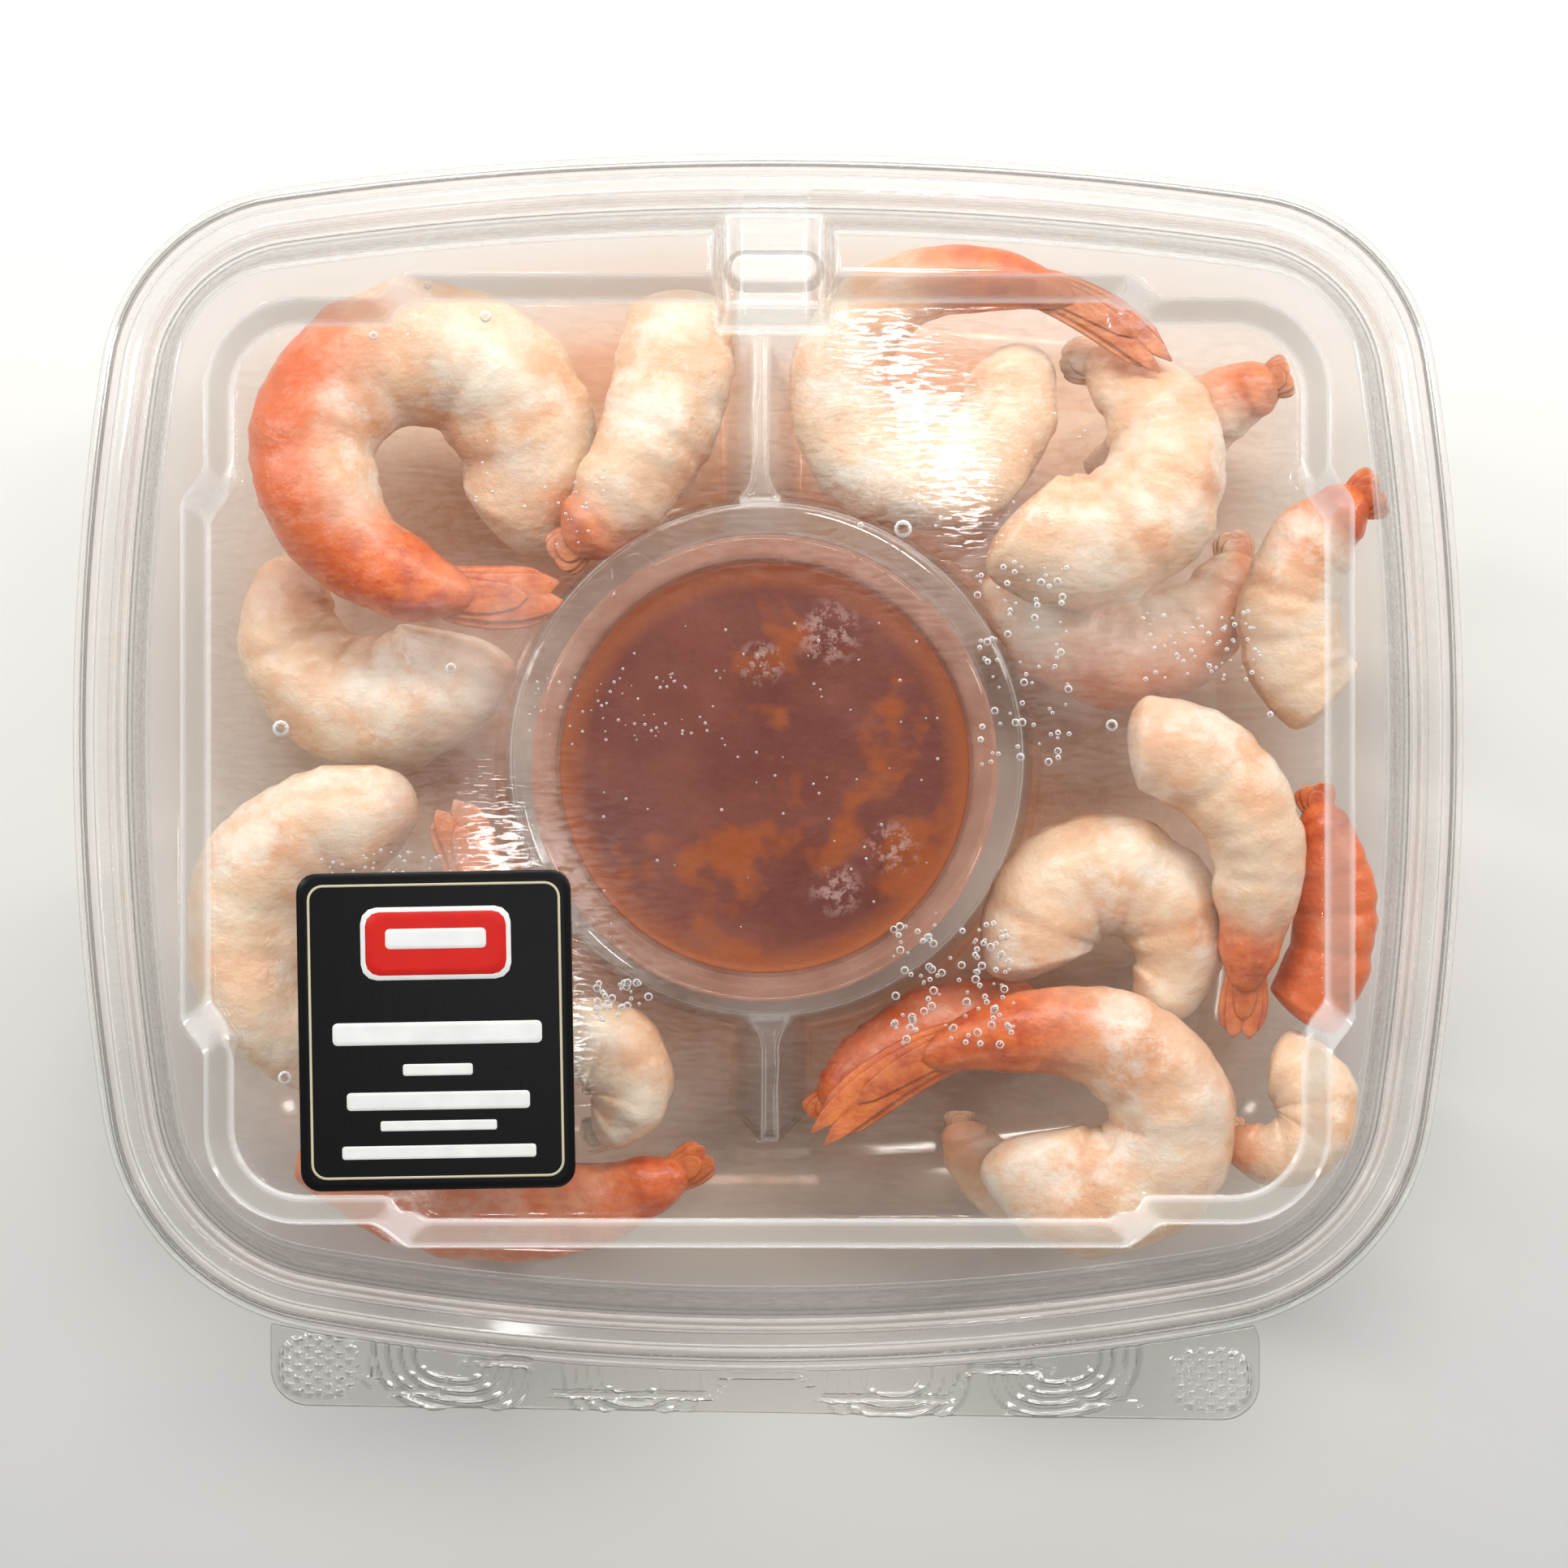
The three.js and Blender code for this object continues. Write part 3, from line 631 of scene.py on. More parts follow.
lid_levels = []
for inset, height in eased(lid_wall, 0.7, steps=4, longest=0.8):
    lid_levels.append([lid_point(*(rim - out * inset), height) for rim, out, _, _ in stations])
panel_path = eased(panel_wall, 1.0, steps=5, longest=0.7)
shoulder_rows = 5
for row in range(1, shoulder_rows):
    share = row / shoulder_rows
    level = []
    for rim, out, point, growth in stations:
        outer = rim - out * lid_wall[-1][0]
        level.append(lid_point(*outer.lerp(point + growth * panel_path[0].x, share), shoulder_top))
    lid_levels.append(level)
for grow, height in panel_path:
    lid_levels.append([lid_point(*(point + growth * grow), height) for _, _, point, growth in stations])
panel_edge = [point + growth * panel_path[-1].x for _, _, point, growth in stations]
for share in [1 - 0.0125 * row for row in range(1, 14)] + [0.78, 0.68, 0.52, 0.36, 0.2]:
    lid_levels.append([lid_point(*(point * share), panel_top) for point in panel_edge])

lid_mesh, lid_edges = loft(lid_levels)
close_sheet(lid_mesh, lid_edges)

lid_finish = new_finish("clear lid sheet")
tree = lid_finish.node_tree
panel_middle = (0, 0, 0.042)
off_cup = ranged(tree, far_from(tree, panel_middle), 0.026, 0.034, to_low=0.25)
on_panel = ranged(tree, height_in(tree), 0.0434, 0.0427)
on_panel = joined(tree, "MULTIPLY", on_panel, off_cup)
lid_surface, lid_grain = rippled(tree, 0.07, joined(tree, "MULTIPLY", on_panel, 0.13))
lid_gloss = joined(tree, "MULTIPLY", on_panel, fade(tree, lid_grain, (0.44, 0.0), (0.54, 0.3)))
lid_gloss = joined(tree, "ADD", lid_gloss, 0.04)
lid_clear = clear_shader(
    tree, (0.998, 0.996, 0.992), (0.60, 0.58, 0.56), lid_surface, lid_gloss, 0.035, 0.94,
    line_heights=(33.2, 35.7), painted_bend_highlight=0.29
)
fog_patches = spots_on(tree, 60, 4, 0.6, shift=(0.11, 0.4, 0))
lid_fog = 0.0
for fog_x, fog_y, fog_radius in ((-38, 12, 17), (46, 12, 17), (-48, -13, 15)):
    away = far_from(tree, (fog_x * mm, (fog_y + pack_shift) * mm, panel_middle[2]))
    lid_fog = joined(tree, "MAXIMUM", lid_fog, ranged(tree, away, fog_radius * mm, 0.0, to_high=0.6))
lid_fog = joined(tree, "MULTIPLY", lid_fog, fade(tree, fog_patches, (0.35, 0.06), (0.65, 0.4)))
lid_fog = joined(tree, "MULTIPLY", lid_fog, off_cup)
# The steep panel walls get a grey matt coat: painted shade for the grey bands that the walls show.
painted_wall_shade = fade(tree, flatness(tree), (0.48, 0.0), (0.54, 0.22), (0.62, 0.22), (0.68, 0.0))
lid_with_wall_shade = over(tree, painted_wall_shade, lid_clear, dull(tree, (0.60, 0.60, 0.55)))
lid_fogged = over(tree, lid_fog, lid_with_wall_shade, dull(tree, (0.95, 0.82, 0.73)))
lid_shade = see_through(tree, (0.996, 0.99, 0.985))
show(tree, over(tree, passing_through(tree), lid_fogged, lid_shade))
lid_sheet = settle(lid_mesh, "lid_sheet", lid_finish, "lid")
thicken(lid_sheet, sheet_thickness)


def capsule(width, depth, centre, height, turns=8):
    """A ring of points round a bar with half-round ends."""
    radius, reach = min(width, depth) / 2, abs(width - depth) / 2
    points = []
    for way in (1, -1):
        for turn in range(turns + 1):
            angle = math.pi * (turn / turns - 0.5) + (0 if way > 0 else math.pi)
            points.append(Vector((
                centre[0] + way * reach + radius * math.cos(angle),
                centre[1] + radius * math.sin(angle),
                height,
            )))
    return points


button_finish = new_finish("lid button")
tree = button_finish.node_tree
button_surface, _ = rippled(tree, 0.07, 0)
button_clear = clear_shader(
    tree, (0.99, 0.985, 0.98), (0.35, 0.335, 0.32), button_surface, 0.05, slope=0.72
)
button_up = part_of(tree, put(tree, "NewGeometry").outputs["Normal"], "Z")
button_flat = fade(tree, button_up, (0.8, 0.0), (0.97, 0.35))
show(tree, over(tree, button_flat, button_clear, dull(tree, (0.97, 0.965, 0.955))))

button_width, button_depth, button_middle = 12.7, 4.9, (0.8, 64.45)
button_section = [(0.35, 36.2), (0.2, 36.6), (-0.5, 38.6), (-0.9, 38.9), (-1.6, 38.9)]
button_levels = [
    capsule(button_width + 2 * grow, button_depth + 2 * grow, button_middle, height)
    for grow, height in eased(button_section, 0.3)
]
button_mesh, button_edges = loft(button_levels)
close_sheet(button_mesh, button_edges)
settle(button_mesh, "lid_button", button_finish)

# ---- Tear strip ----
# A flap along the tray's front flange that is torn off to open the pack. It is part of the
# same clear sheet, stiffened by nested ribs, with diamond-studded pads to pull it by and a
# wavy line of weakness.

strip = {"half": 65.5, "front": -86.3, "end": 5, "skew": math.radians(-0.9), "middle": -0.4}
strip_top = 34.0
strip_gap = 0.3
lobes = [(-41.5, 11), (-17.6, 9.6), (17.4, 10.2), (39.6, 10.6)]
lobe_depth, lobe_hollow, lobe_power = 8.6, 0.36, 2.6
rib_pitch, rib_height = 0.16, 0.5
pads = [(-59, 5.3), (59, 5.3)]
pad_half = Vector((5.5, 4.2))
pad_edge = 1.25
stud_pitch, stud_lean, stud_height = 1.35, 0.62, 0.42
arrows = [-52.2, 47.2]
wave_highs = [(-36, 4.2), (0, 3.9), (33, 5.6)]


def strip_edges(x):
    """The strip's front edge, and its back edge along the tray's flange, at a place along it."""
    bow = end_bows[-1][0]
    back = end_centre(-1).y - math.sqrt((bow + strip_gap) ** 2 - x * x)
    along = x - strip["middle"]
    front = strip["front"] + along * math.tan(strip["skew"])
    into_end = max(0.0, abs(along) - (strip["half"] - strip["end"]))
    round_off = strip["end"] - math.sqrt(max(strip["end"] ** 2 - into_end**2, 0))
    corner_back = front + 15 - round_off
    return front + round_off, min(back, corner_back)


def strip_height(x, y):
    """How far the strip's ribs, studs, arrows and weak line stand above it."""
    along = x - strip["middle"]
    up = y - strip["front"] - along * math.tan(strip["skew"])
    back = strip_edges(x)[1]
    rise = 0.0
    for middle, half in lobes:
        across, behind = abs(along - middle) / half, max(back - y, 0) / lobe_depth
        reach = (across**lobe_power + behind**lobe_power) ** (1 / lobe_power)
        if lobe_hollow < reach < 1.0:
            turn = 2 * math.pi * (reach - lobe_hollow) / rib_pitch
            rise = max(rise, rib_height * 0.5 * (1 - math.cos(turn)))
    for middle, middle_up in pads:
        spot = Vector((along - middle, up - middle_up))
        inside = (abs(spot.x) / pad_half.x) ** 3 + (abs(spot.y) / pad_half.y) ** 3
        if inside < pad_edge:
            u = (spot.x / stud_pitch + spot.y / (stud_pitch * stud_lean)) * math.pi / 2
            v = (spot.x / stud_pitch - spot.y / (stud_pitch * stud_lean)) * math.pi / 2
            studs = abs(math.cos(u) * math.cos(v)) ** 0.7
            border = smooth((pad_edge - inside) / 0.25)
            rise = border * (0.12 + stud_height * studs * smooth((1.0 - inside) / 0.2))
    for middle in arrows:
        across, height = abs(along - middle), up - 2.2
        shaft = across < 0.42 and 1.2 < height < 4.6
        head = 0 < height < 1.7 and across < height * 0.95
        if shaft or head:
            rise = 0.3
    line = 2.0
    for middle, reach in wave_highs:
        line += 4.2 * smooth((reach + 3.5 - abs(along - middle)) / 3.5)
    line = min(line, back - strip["front"] - along * math.tan(strip["skew"]) - 0.5)
    if abs(along) < 50 and abs(up - line) < 0.32:
        rise = min(rise, 0) - 0.22
    return rise


strip_columns, strip_rows = 390, 34
strip_mesh = bmesh.new()
bmesh.ops.create_grid(strip_mesh, x_segments=strip_columns, y_segments=strip_rows, size=0.5)
for vert in strip_mesh.verts:
    across, share = vert.co.x * 2, vert.co.y + 0.5
    x = strip["middle"] + strip["half"] * math.sin(across * math.pi / 2)
    front, back = strip_edges(x)
    y = front + (back - front) * share
    vert.co = (x, y, strip_top + strip_height(x, y))
strip_finish = new_finish("clear strip sheet")
tree = strip_finish.node_tree
strip_surface, _ = rippled(tree, 0.3, 0.1)
show(tree, clear_shader(
    tree, (0.965, 0.96, 0.95), (0.40, 0.385, 0.37), strip_surface, 0.05, shine=0.07, slope=0.72
))
tear_strip = settle(strip_mesh, "tear_strip_sheet", strip_finish, "tear_strip")
thicken(tear_strip, sheet_thickness)

# ---- Sauce cup ----
# A portion cup of milky, slightly frosted plastic, moulded with a flat flange round its mouth.
# It stands in the tray's ring, and its flange rests just above the ring's top.

cup_centre = Vector((-0.5, -0.9, 0))
cup_turns = 96
sauce_level = 31.6


def turn_round(section, turns):
    """A closed shell from a section of (radius, height) points, turned about the cup's middle."""
    mesh = bmesh.new()
    verts = [mesh.verts.new(cup_centre + Vector((radius, 0, height))) for radius, height in section]
    edges = [mesh.edges.new(pair) for pair in zip(verts, verts[1:])]
    bmesh.ops.spin(
        mesh, geom=verts + edges, cent=cup_centre, axis=(0, 0, 1), angle=2 * math.pi,
        steps=turns, use_merge=True, use_duplicate=False,
    )
    bmesh.ops.remove_doubles(mesh, verts=mesh.verts, dist=1e-4)
    bmesh.ops.recalc_face_normals(mesh, faces=mesh.faces)
    return mesh


cup_section = eased(
    [(0, 0.9), (21.5, 0.9), (22.5, 1.9), (28.45, 33.0), (30.7, 32.7), (31.0, 33.1), (31.0, 33.8),
     (27.8, 33.8), (27.2, 31), (21.7, 2.7), (20.7, 1.7), (0, 1.7)],
    0.3,
)
cup_finish = new_finish("milky cup plastic")
tree = cup_finish.node_tree
cup_grain = bumped(tree, spots_on(tree, 900, 3), 0.25, 0.0003)
cup_milk = put(tree, "BsdfPrincipled", {
    "Base Color": fade(tree, spots_on(tree, 160, 3), (0.3, (0.78, 0.42, 0.32)), (0.7, (0.93, 0.64, 0.54))),
    "Roughness": 0.32,
    "Normal": cup_grain,
})
cup_through = see_through(tree, (0.96, 0.83, 0.75))
cup_veil = fade(tree, spots_on(tree, 220, 3), (0.25, 0.18), (0.75, 0.34))
show(tree, over(tree, cup_veil, cup_through, cup_milk))
settle(turn_round(cup_section, cup_turns), "cup_wall", cup_finish, "sauce_cup")

# ---- Sauce ----
# Cocktail sauce, thick and dusty red, with smears of orange and a brighter rim where it
# touches the cup. It fills the cup nearly to its mouth and clings to the wall.

sauce_section = eased(
    [(0, 1.6), (20.9, 1.6), (21.9, 2.8), (27.35, 30.9), (27.4, 31.75), (26.6, 31.55), (0, 31.6)],
    0.35,
)
sauce_mesh = turn_round(sauce_section[:-1], cup_turns)
rim_edges = [edge for edge in sauce_mesh.edges if edge.is_boundary and edge.verts[0].co.z > 20]
sauce_rows, sauce_ripple = 26, 0.28
for row in range(1, sauce_rows):
    grown = bmesh.ops.extrude_edge_only(sauce_mesh, edges=rim_edges)["geom"]
    shrink = (sauce_rows - row) / (sauce_rows - row + 1)
    for item in grown:
        if isinstance(item, bmesh.types.BMVert):
            item.co.xy = cup_centre.xy + (item.co.xy - cup_centre.xy) * shrink
            ripple = noise.noise(Vector((item.co.x * 0.16, item.co.y * 0.16, 3.1)))
            off_wall = smooth((27 - (item.co.xy - cup_centre.xy).length) / 3)
            item.co.z = sauce_level + sauce_ripple * ripple * off_wall
    rim_edges = [item for item in grown if isinstance(item, bmesh.types.BMEdge) and item.is_boundary]
bmesh.ops.edgeloop_fill(sauce_mesh, edges=rim_edges)
bmesh.ops.holes_fill(sauce_mesh, edges=sauce_mesh.edges, sides=0)
bmesh.ops.recalc_face_normals(sauce_mesh, faces=sauce_mesh.faces)

sauce_finish = new_finish("cocktail sauce")
tree = sauce_finish.node_tree
from_middle = far_from(tree, (-0.0005, 0.0025, 0.0316))
to_rim = fade(tree, ranged(tree, from_middle, 0.0235, 0.0268), (0.0, 0.0), (1.0, 1.0))
swirl = spots_on(tree, 85, 3, 0.6, shift=(0.3, 0.1, 0))
smears = fade(tree, swirl, (0.53, 0.0), (0.62, 1.0))
cloud = fade(tree, spots_on(tree, 60, 4, 0.6), (0.3, (0.17, 0.035, 0.024)), (0.7, (0.29, 0.082, 0.055)))
with_smears = mixed(tree, smears, cloud, (0.42, 0.10, 0.016, 1))
sauce_tone = mixed(tree, to_rim, with_smears, (0.46, 0.13, 0.035, 1))
pulp = bumped(tree, spots_on(tree, 700, 3), 0.3, 0.0004)
show(tree, put(tree, "BsdfPrincipled", {
    "Base Color": sauce_tone,
    "Roughness": 0.35,
    "Subsurface Weight": 0.15,
    "Subsurface Radius": (1.0, 0.3, 0.15),
    "Subsurface Scale": 0.002,
    "Normal": pulp,
}))
settle(sauce_mesh, "sauce_fill", sauce_finish, "sauce")

# ---- Cup seal ----
# A thin clear film, heat-sealed to the cup's flange, with a small pull tab. It is slightly
# slack, and its underside is fogged with condensation, thickest in a few frosty patches.

film_level, film_thickness = 34.1, 0.2
tab_heading, tab_reach, tab_half = math.radians(124), 33.6, 3.2
film_radius = 30.7


def film_edge(turn):
    """The film's radius at a heading, with the pull tab's rounded corner standing out."""
    off = (turn - tab_heading + math.pi) % (2 * math.pi) - math.pi
    across = abs(math.sin(off)) * tab_reach
    if abs(off) > 0.4 or across > tab_half:
        return film_radius
    return film_radius + (tab_reach - film_radius) * math.sqrt(1 - (across / tab_half) ** 4)


film_turns = 240
film_levels = []
for share in (1.0, 0.985, 0.97, 0.95, 0.93, 0.9, 0.84, 0.76, 0.66, 0.54, 0.42, 0.3, 0.18, 0.07):
    level = []
    for i in range(film_turns):
        turn = 2 * math.pi * i / film_turns
        edge = film_edge(turn) if share > 0.96 else film_radius
        spot = cup_centre + Vector((math.cos(turn), math.sin(turn), 0)) * edge * share
        slack = 0.12 * noise.noise(spot * 0.11) * smooth((0.92 - share) / 0.1)
        level.append((spot.x, spot.y, film_level + film_thickness + slack))
    film_levels.append(level)
film_mesh, film_edges = loft(film_levels)
close_sheet(film_mesh, film_edges)
film_finish = new_finish("fogged sealing film")
tree = film_finish.node_tree
wrinkles = bumped(tree, spots_on(tree, 70, 2), 0.15, 0.001)
film_clear = clear_shader(tree, (0.97, 0.95, 0.935), (0.7, 0.66, 0.62), wrinkles, 0.06)
film_fog = put(tree, "BsdfPrincipled", {"Base Color": (0.62, 0.38, 0.34, 1), "Roughness": 0.5})
veil = fade(tree, spots_on(tree, 45, 3), (0.4, 0.0), (0.7, 0.03))
flecks = fade(tree, spots_on(tree, 620, 4, 0.75), (0.5, 0.0), (0.58, 0.5))
for frost_x, frost_y, frost_radius in ((16.5, -11.5, 4.2), (9.0, -17.0, 4.0), (-1, 13, 3.5), (8, 17, 5)):
    away = far_from(tree, (frost_x * mm, (frost_y + pack_shift) * mm, 0.0343))
    near = ranged(tree, away, frost_radius * mm, frost_radius * mm * 0.3)
    veil = joined(tree, "MAXIMUM", veil, joined(tree, "MULTIPLY", near, flecks))
show(tree, over(tree, veil, film_clear, film_fog))
cup_seal = settle(film_mesh, "cup_seal", film_finish, "cup_film")
thicken(cup_seal, film_thickness)

# ---- Label ----
# A paper label with a black satin print, stuck to the lid's panel. It has rounded corners, a
# thin pale line inside its edge, a red badge and rows of plain white bars.

label = {"middle": Vector((-42.8, -34.8)), "width": 35.4, "depth": 41.0, "turn": math.radians(1)}
label_low, label_thickness, ink = 42.7, 0.2, 0.015


def rounded_outline(width, depth, corner, height, turns=6):
    points = []
    for quarter, (way_x, way_y) in enumerate(((1, 1), (-1, 1), (-1, -1), (1, -1))):
        for turn in range(turns + 1):
            angle = math.pi / 2 * (quarter + turn / turns)
            points.append(Vector((
                way_x * (width / 2 - corner) + corner * math.cos(angle),
                way_y * (depth / 2 - corner) + corner * math.sin(angle),
                height,
            )))
    return points


def place_print(mesh, x, y, name, finish, node=None):
    """Puts a shape made about the label's middle where it belongs on the label."""
    matrix = Matrix.Translation((*label["middle"], 0)) @ Matrix.Rotation(label["turn"], 4, "Z")
    bmesh.ops.transform(mesh, matrix=matrix @ Matrix.Translation((x, y, 0)), verts=mesh.verts)
    return settle(mesh, name, finish, node)


def print_finish(name, tone, roughness):
    finish = new_finish(name)
    tree = finish.node_tree
    paper = bumped(tree, spots_on(tree, 1500, 2), 0.08, 0.0002)
    shade = fade(tree, spots_on(tree, 300, 2), (0.3, tone), (0.8, tuple(1.12 * part for part in tone)))
    show(tree, put(tree, "BsdfPrincipled", {
        "Base Color": shade, "Roughness": roughness, "Specular IOR Level": 0.2, "Normal": paper,
    }))
    return finish


def flat_plate(outline_of, low, high):
    """A thin plate with a soft upper edge; outline_of gives its outline, shrunk, at a height."""
    soft = min(0.06, (high - low) / 3)
    mesh, edges = loft([
        outline_of(0, low), outline_of(0, high - soft), outline_of(soft, high), outline_of(1.0 + soft, high)
    ])
    bmesh.ops.edgeloop_fill(mesh, edges=edges)
    bmesh.ops.holes_fill(mesh, edges=mesh.edges, sides=0)
    bmesh.ops.recalc_face_normals(mesh, faces=mesh.faces)
    return mesh


black_print = print_finish("black satin print", (0.006, 0.006, 0.007), 0.3)
label_corner = 2.6


def card_outline(shrink, height):
    width, depth = label["width"] - 2 * shrink, label["depth"] - 2 * shrink
    return rounded_outline(width, depth, label_corner - min(shrink, 1), height)


card = flat_plate(card_outline, label_low, label_low + label_thickness)
place_print(card, 0, 0, "label_card", black_print, "label")

keyline_print = print_finish("pale keyline print", (0.62, 0.56, 0.38), 0.4)
keyline_width, keyline_depth, keyline_corner, keyline_line = 32.0, 37.4, 1.7, 0.32
print_level = label_low + label_thickness
keyline, _ = loft([
    rounded_outline(
        keyline_width + 2 * grow, keyline_depth + 2 * grow, keyline_corner + grow, print_level + lift
    )
    for grow, lift in ((keyline_line, 0), (keyline_line, ink), (0, ink), (0, 0))
])
bmesh.ops.bridge_loops(keyline, edges=[edge for edge in keyline.edges if edge.is_boundary])
bmesh.ops.recalc_face_normals(keyline, faces=keyline.faces)
place_print(keyline, 0, 0, "label_keyline", keyline_print)

white_print = print_finish("white print", (0.82, 0.82, 0.80), 0.4)
red_print = print_finish("red print", (0.62, 0.02, 0.015), 0.35)


def bar(name, x, y, width, depth, finish, lift=0.0):
    low = print_level + lift

    def outline(shrink, height):
        inset = 2 * min(shrink, depth * 0.2)
        return rounded_outline(width - inset, depth - inset, depth * 0.22, height, 3)

    place_print(flat_plate(outline, low, low + ink), x, y, name, finish)


bar("label_badge_border", 0.2, 11.3, 19.4, 9.4, white_print)
bar("label_badge", 0.2, 11.3, 18.2, 8.2, red_print, ink)
bar("label_badge_bar", 0.2, 11.9, 13.0, 2.6, white_print, 2 * ink)
for row, (bar_y, bar_width, bar_depth) in enumerate((
    (-0.3, 27.0, 2.9), (-5.0, 9.0, 1.5), (-9.0, 23.6, 2.3), (-12.2, 15.0, 1.3), (-15.6, 25.0, 1.7),
)):
    bar(f"label_bar_{row + 1}", 0.2, bar_y, bar_width, bar_depth, white_print)

# ---- Shrimps ----
# Cooked shrimps, curled, peeled all but for the tail fan, with a blunt neck where the head was
# pulled off. Six rings of muscle overlap each other down the body. They lie heaped in the
# tray's two halves, the upper ones close under the lid.

# Each curls about (x, y) from the heading "start" through "sweep" degrees at the radius
# "curl", and its tail unrolls by "unroll" times that. The heights are of the neck, the middle
# and the tail; "girth" is the half thickness; "blush" and "tail" say how red its back and tail are.
# "plump" widens it towards the middle of its curl, "red_from" is where the red of its back
# starts, and "fan" is how far its tail fan spreads.
shrimp_words = (
    "x", "y", "start", "sweep", "curl", "unroll", "heights", "girth", "blush", "tail",
    "plump", "red_from", "fan",
)
shrimps = [dict(zip(shrimp_words, row)) for row in (
    (-46.5, 41.5, -47, 366, 14.2, 1, (19, 29, 35.6), 9, 1.25, 1.0, 1.1, 0.33, 0.7),
    (-52.5, 60, 4, -59, 40.5, 0, (24, 28, 29), 7.6, 0.1, 0.7, 1.05, 0.5, 0.6),
    (-54.5, 20.5, -13, -220, 12.8, 0, (20, 17, 14), 8.5, 0.05, 0.2, 1.15, 0.4, 0.6),
    (-55.5, -23, 62, 355, 15.3, 0.45, (27, 28, 35), 7.6, 0.05, 0.75, 1.15, 0.4, 0.9),
    (-24.4, -43.6, 150, -250, 6, 0.3, (28, 28, 26), 5.8, 0.0, 0.1, 1.2, 0.4, 0.6),
    (-36, -18.7, 230, 80, 44.2, 0, (14, 20.5, 26), 6, 0.85, 1.0, 1.25, -1, 0.8),
    (20.8, 49.6, 32, -392, 12, 1.8, (26, 29, 36), 6.4, 0.4, 0.8, 1.15, 0.6, 0.85),
    (88, 2, 138, -31, 54, 0, (9, 13, 22), 6, 0.45, 0.6, 1.1, 0.3, 0.8),
    (41, 41, -135, 232, 12.6, 0.15, (32, 32, 24), 8, 0.15, 0.1, 1.15, 0.3, 0.5),
    (50.1, 29.9, 187, 185, 15, 0, (18.5, 16.5, 15), 7.1, 0.6, 0.1, 1.2, 0.1, 0.5),
    (86.8, 20.5, -128, -127, 16.2, 0.03, (24, 26, 31.5), 6.4, 0.25, 1.0, 1.1, 0.5, 1.0),
    (49, -14, 93, -152, 17, 0.7, (30, 31, 26), 6.2, 0.15, 0.9, 1.2, 0.4, 0.9),
    (51.6, -20, -36, 74, 26.3, 0.08, (22, 23, 25), 5.3, 1.25, 1.0, 1.15, -1, 0.9),
    (46.3, -25.1, 203, -290, 10.2, 0, (22, 23, 21), 7.4, 0.0, 0.05, 1.2, 0.4, 0.4),
    (44.5, -48.5, 193, 353, 10.7, 2.8, (24, 29, 34), 7.5, 0.12, 1.0, 1.3, 0.3, 0.8),
    (31.6, -66.4, 80, 67, 30, 0, (10, 16, 19), 6, 1.0, 1.0, 1.1, -1, 0.9),
    (68.9, -47.4, 85, -255, 6.2, 0, (21, 25, 21), 5.1, 0.05, 0.4, 1.15, 0.3, 0.6),
    (38, -49, -70, -112, 11.2, 0, (11, 12, 14), 5, 0.1, 0.3, 1.15, 0.3, 0.6),
)]
taper = [(0, 0.84), (0.06, 0.92), (0.18, 1), (0.4, 1), (0.65, 0.86), (0.82, 0.64), (0.9, 0.5), (1, 0.4)]
unroll_power = 9
body_rings, body_sides = 100, 28
muscle_rings = 6
body_start, neck_round, body_end = 0.0006, 0.05, 0.93
fan_start = 0.84


def shrimp_spot(shrimp, share):
    """The middle of the body at a share of its length, with the ways along it, out and up."""

    def middle(share):
        turn = math.radians(shrimp["start"] + shrimp["sweep"] * share)
        radius = shrimp["curl"] * (1 + shrimp["unroll"] * max(share, 0) ** unroll_power)
        first, half, last = shrimp["heights"]
        height = (
            first * (1 - share) * (1 - 2 * share)
            + half * 4 * share * (1 - share)
            + last * share * (2 * share - 1)
        )
        return Vector((
            shrimp["x"] + radius * math.cos(turn), shrimp["y"] + radius * math.sin(turn), height
        ))

    along = (middle(share + 0.01) - middle(share - 0.01)).normalized()
    side = 1 if shrimp["sweep"] > 0 else -1
    out = Vector((along.y, -along.x, 0)).normalized() * side
    return middle(share), along, out, out.cross(along) * side


def shrimp_size(share):
    for (low, small), (high, big) in zip(taper, taper[1:]):
        if share <= high:
            size = small + (big - small) * smooth((share - low) / (high - low))
            break
    if share < neck_round:
        size *= math.sqrt(1 - (1 - share / neck_round) ** 2)
    if share > fan_start:
        size *= math.sqrt(max(1 - ((share - fan_start) / (body_end - fan_start)) ** 2, 0))
    return size


def muscle(share, turn):
    """How full the body is round its section: rings that overlap, a slit back, a flat belly."""
    back = math.cos(turn)
    ring = (muscle_rings * (share - 0.014 * back) + 0.12) % 1
    depth = 0.028 + 0.022 * back
    swell = 1.03 - depth * (0.5 + 0.5 * math.cos(2 * math.pi * ring)) ** 4
    swell += 0.025 * smooth(-back * 1.5) * math.sin(math.pi * ring)
    slit = 0.06 * math.exp(-((turn / 0.13) ** 2)) * smooth(share / 0.1) * smooth((0.72 - share) / 0.1)
    belly = 0.03 * math.exp(-(((abs(turn) - math.pi) / 0.5) ** 2))
    return swell - slit - belly


def marked(tree, name):
    """The value that each point of the body carries under a name."""
    return put(tree, "Attribute", attribute_name=name).outputs["Fac"]


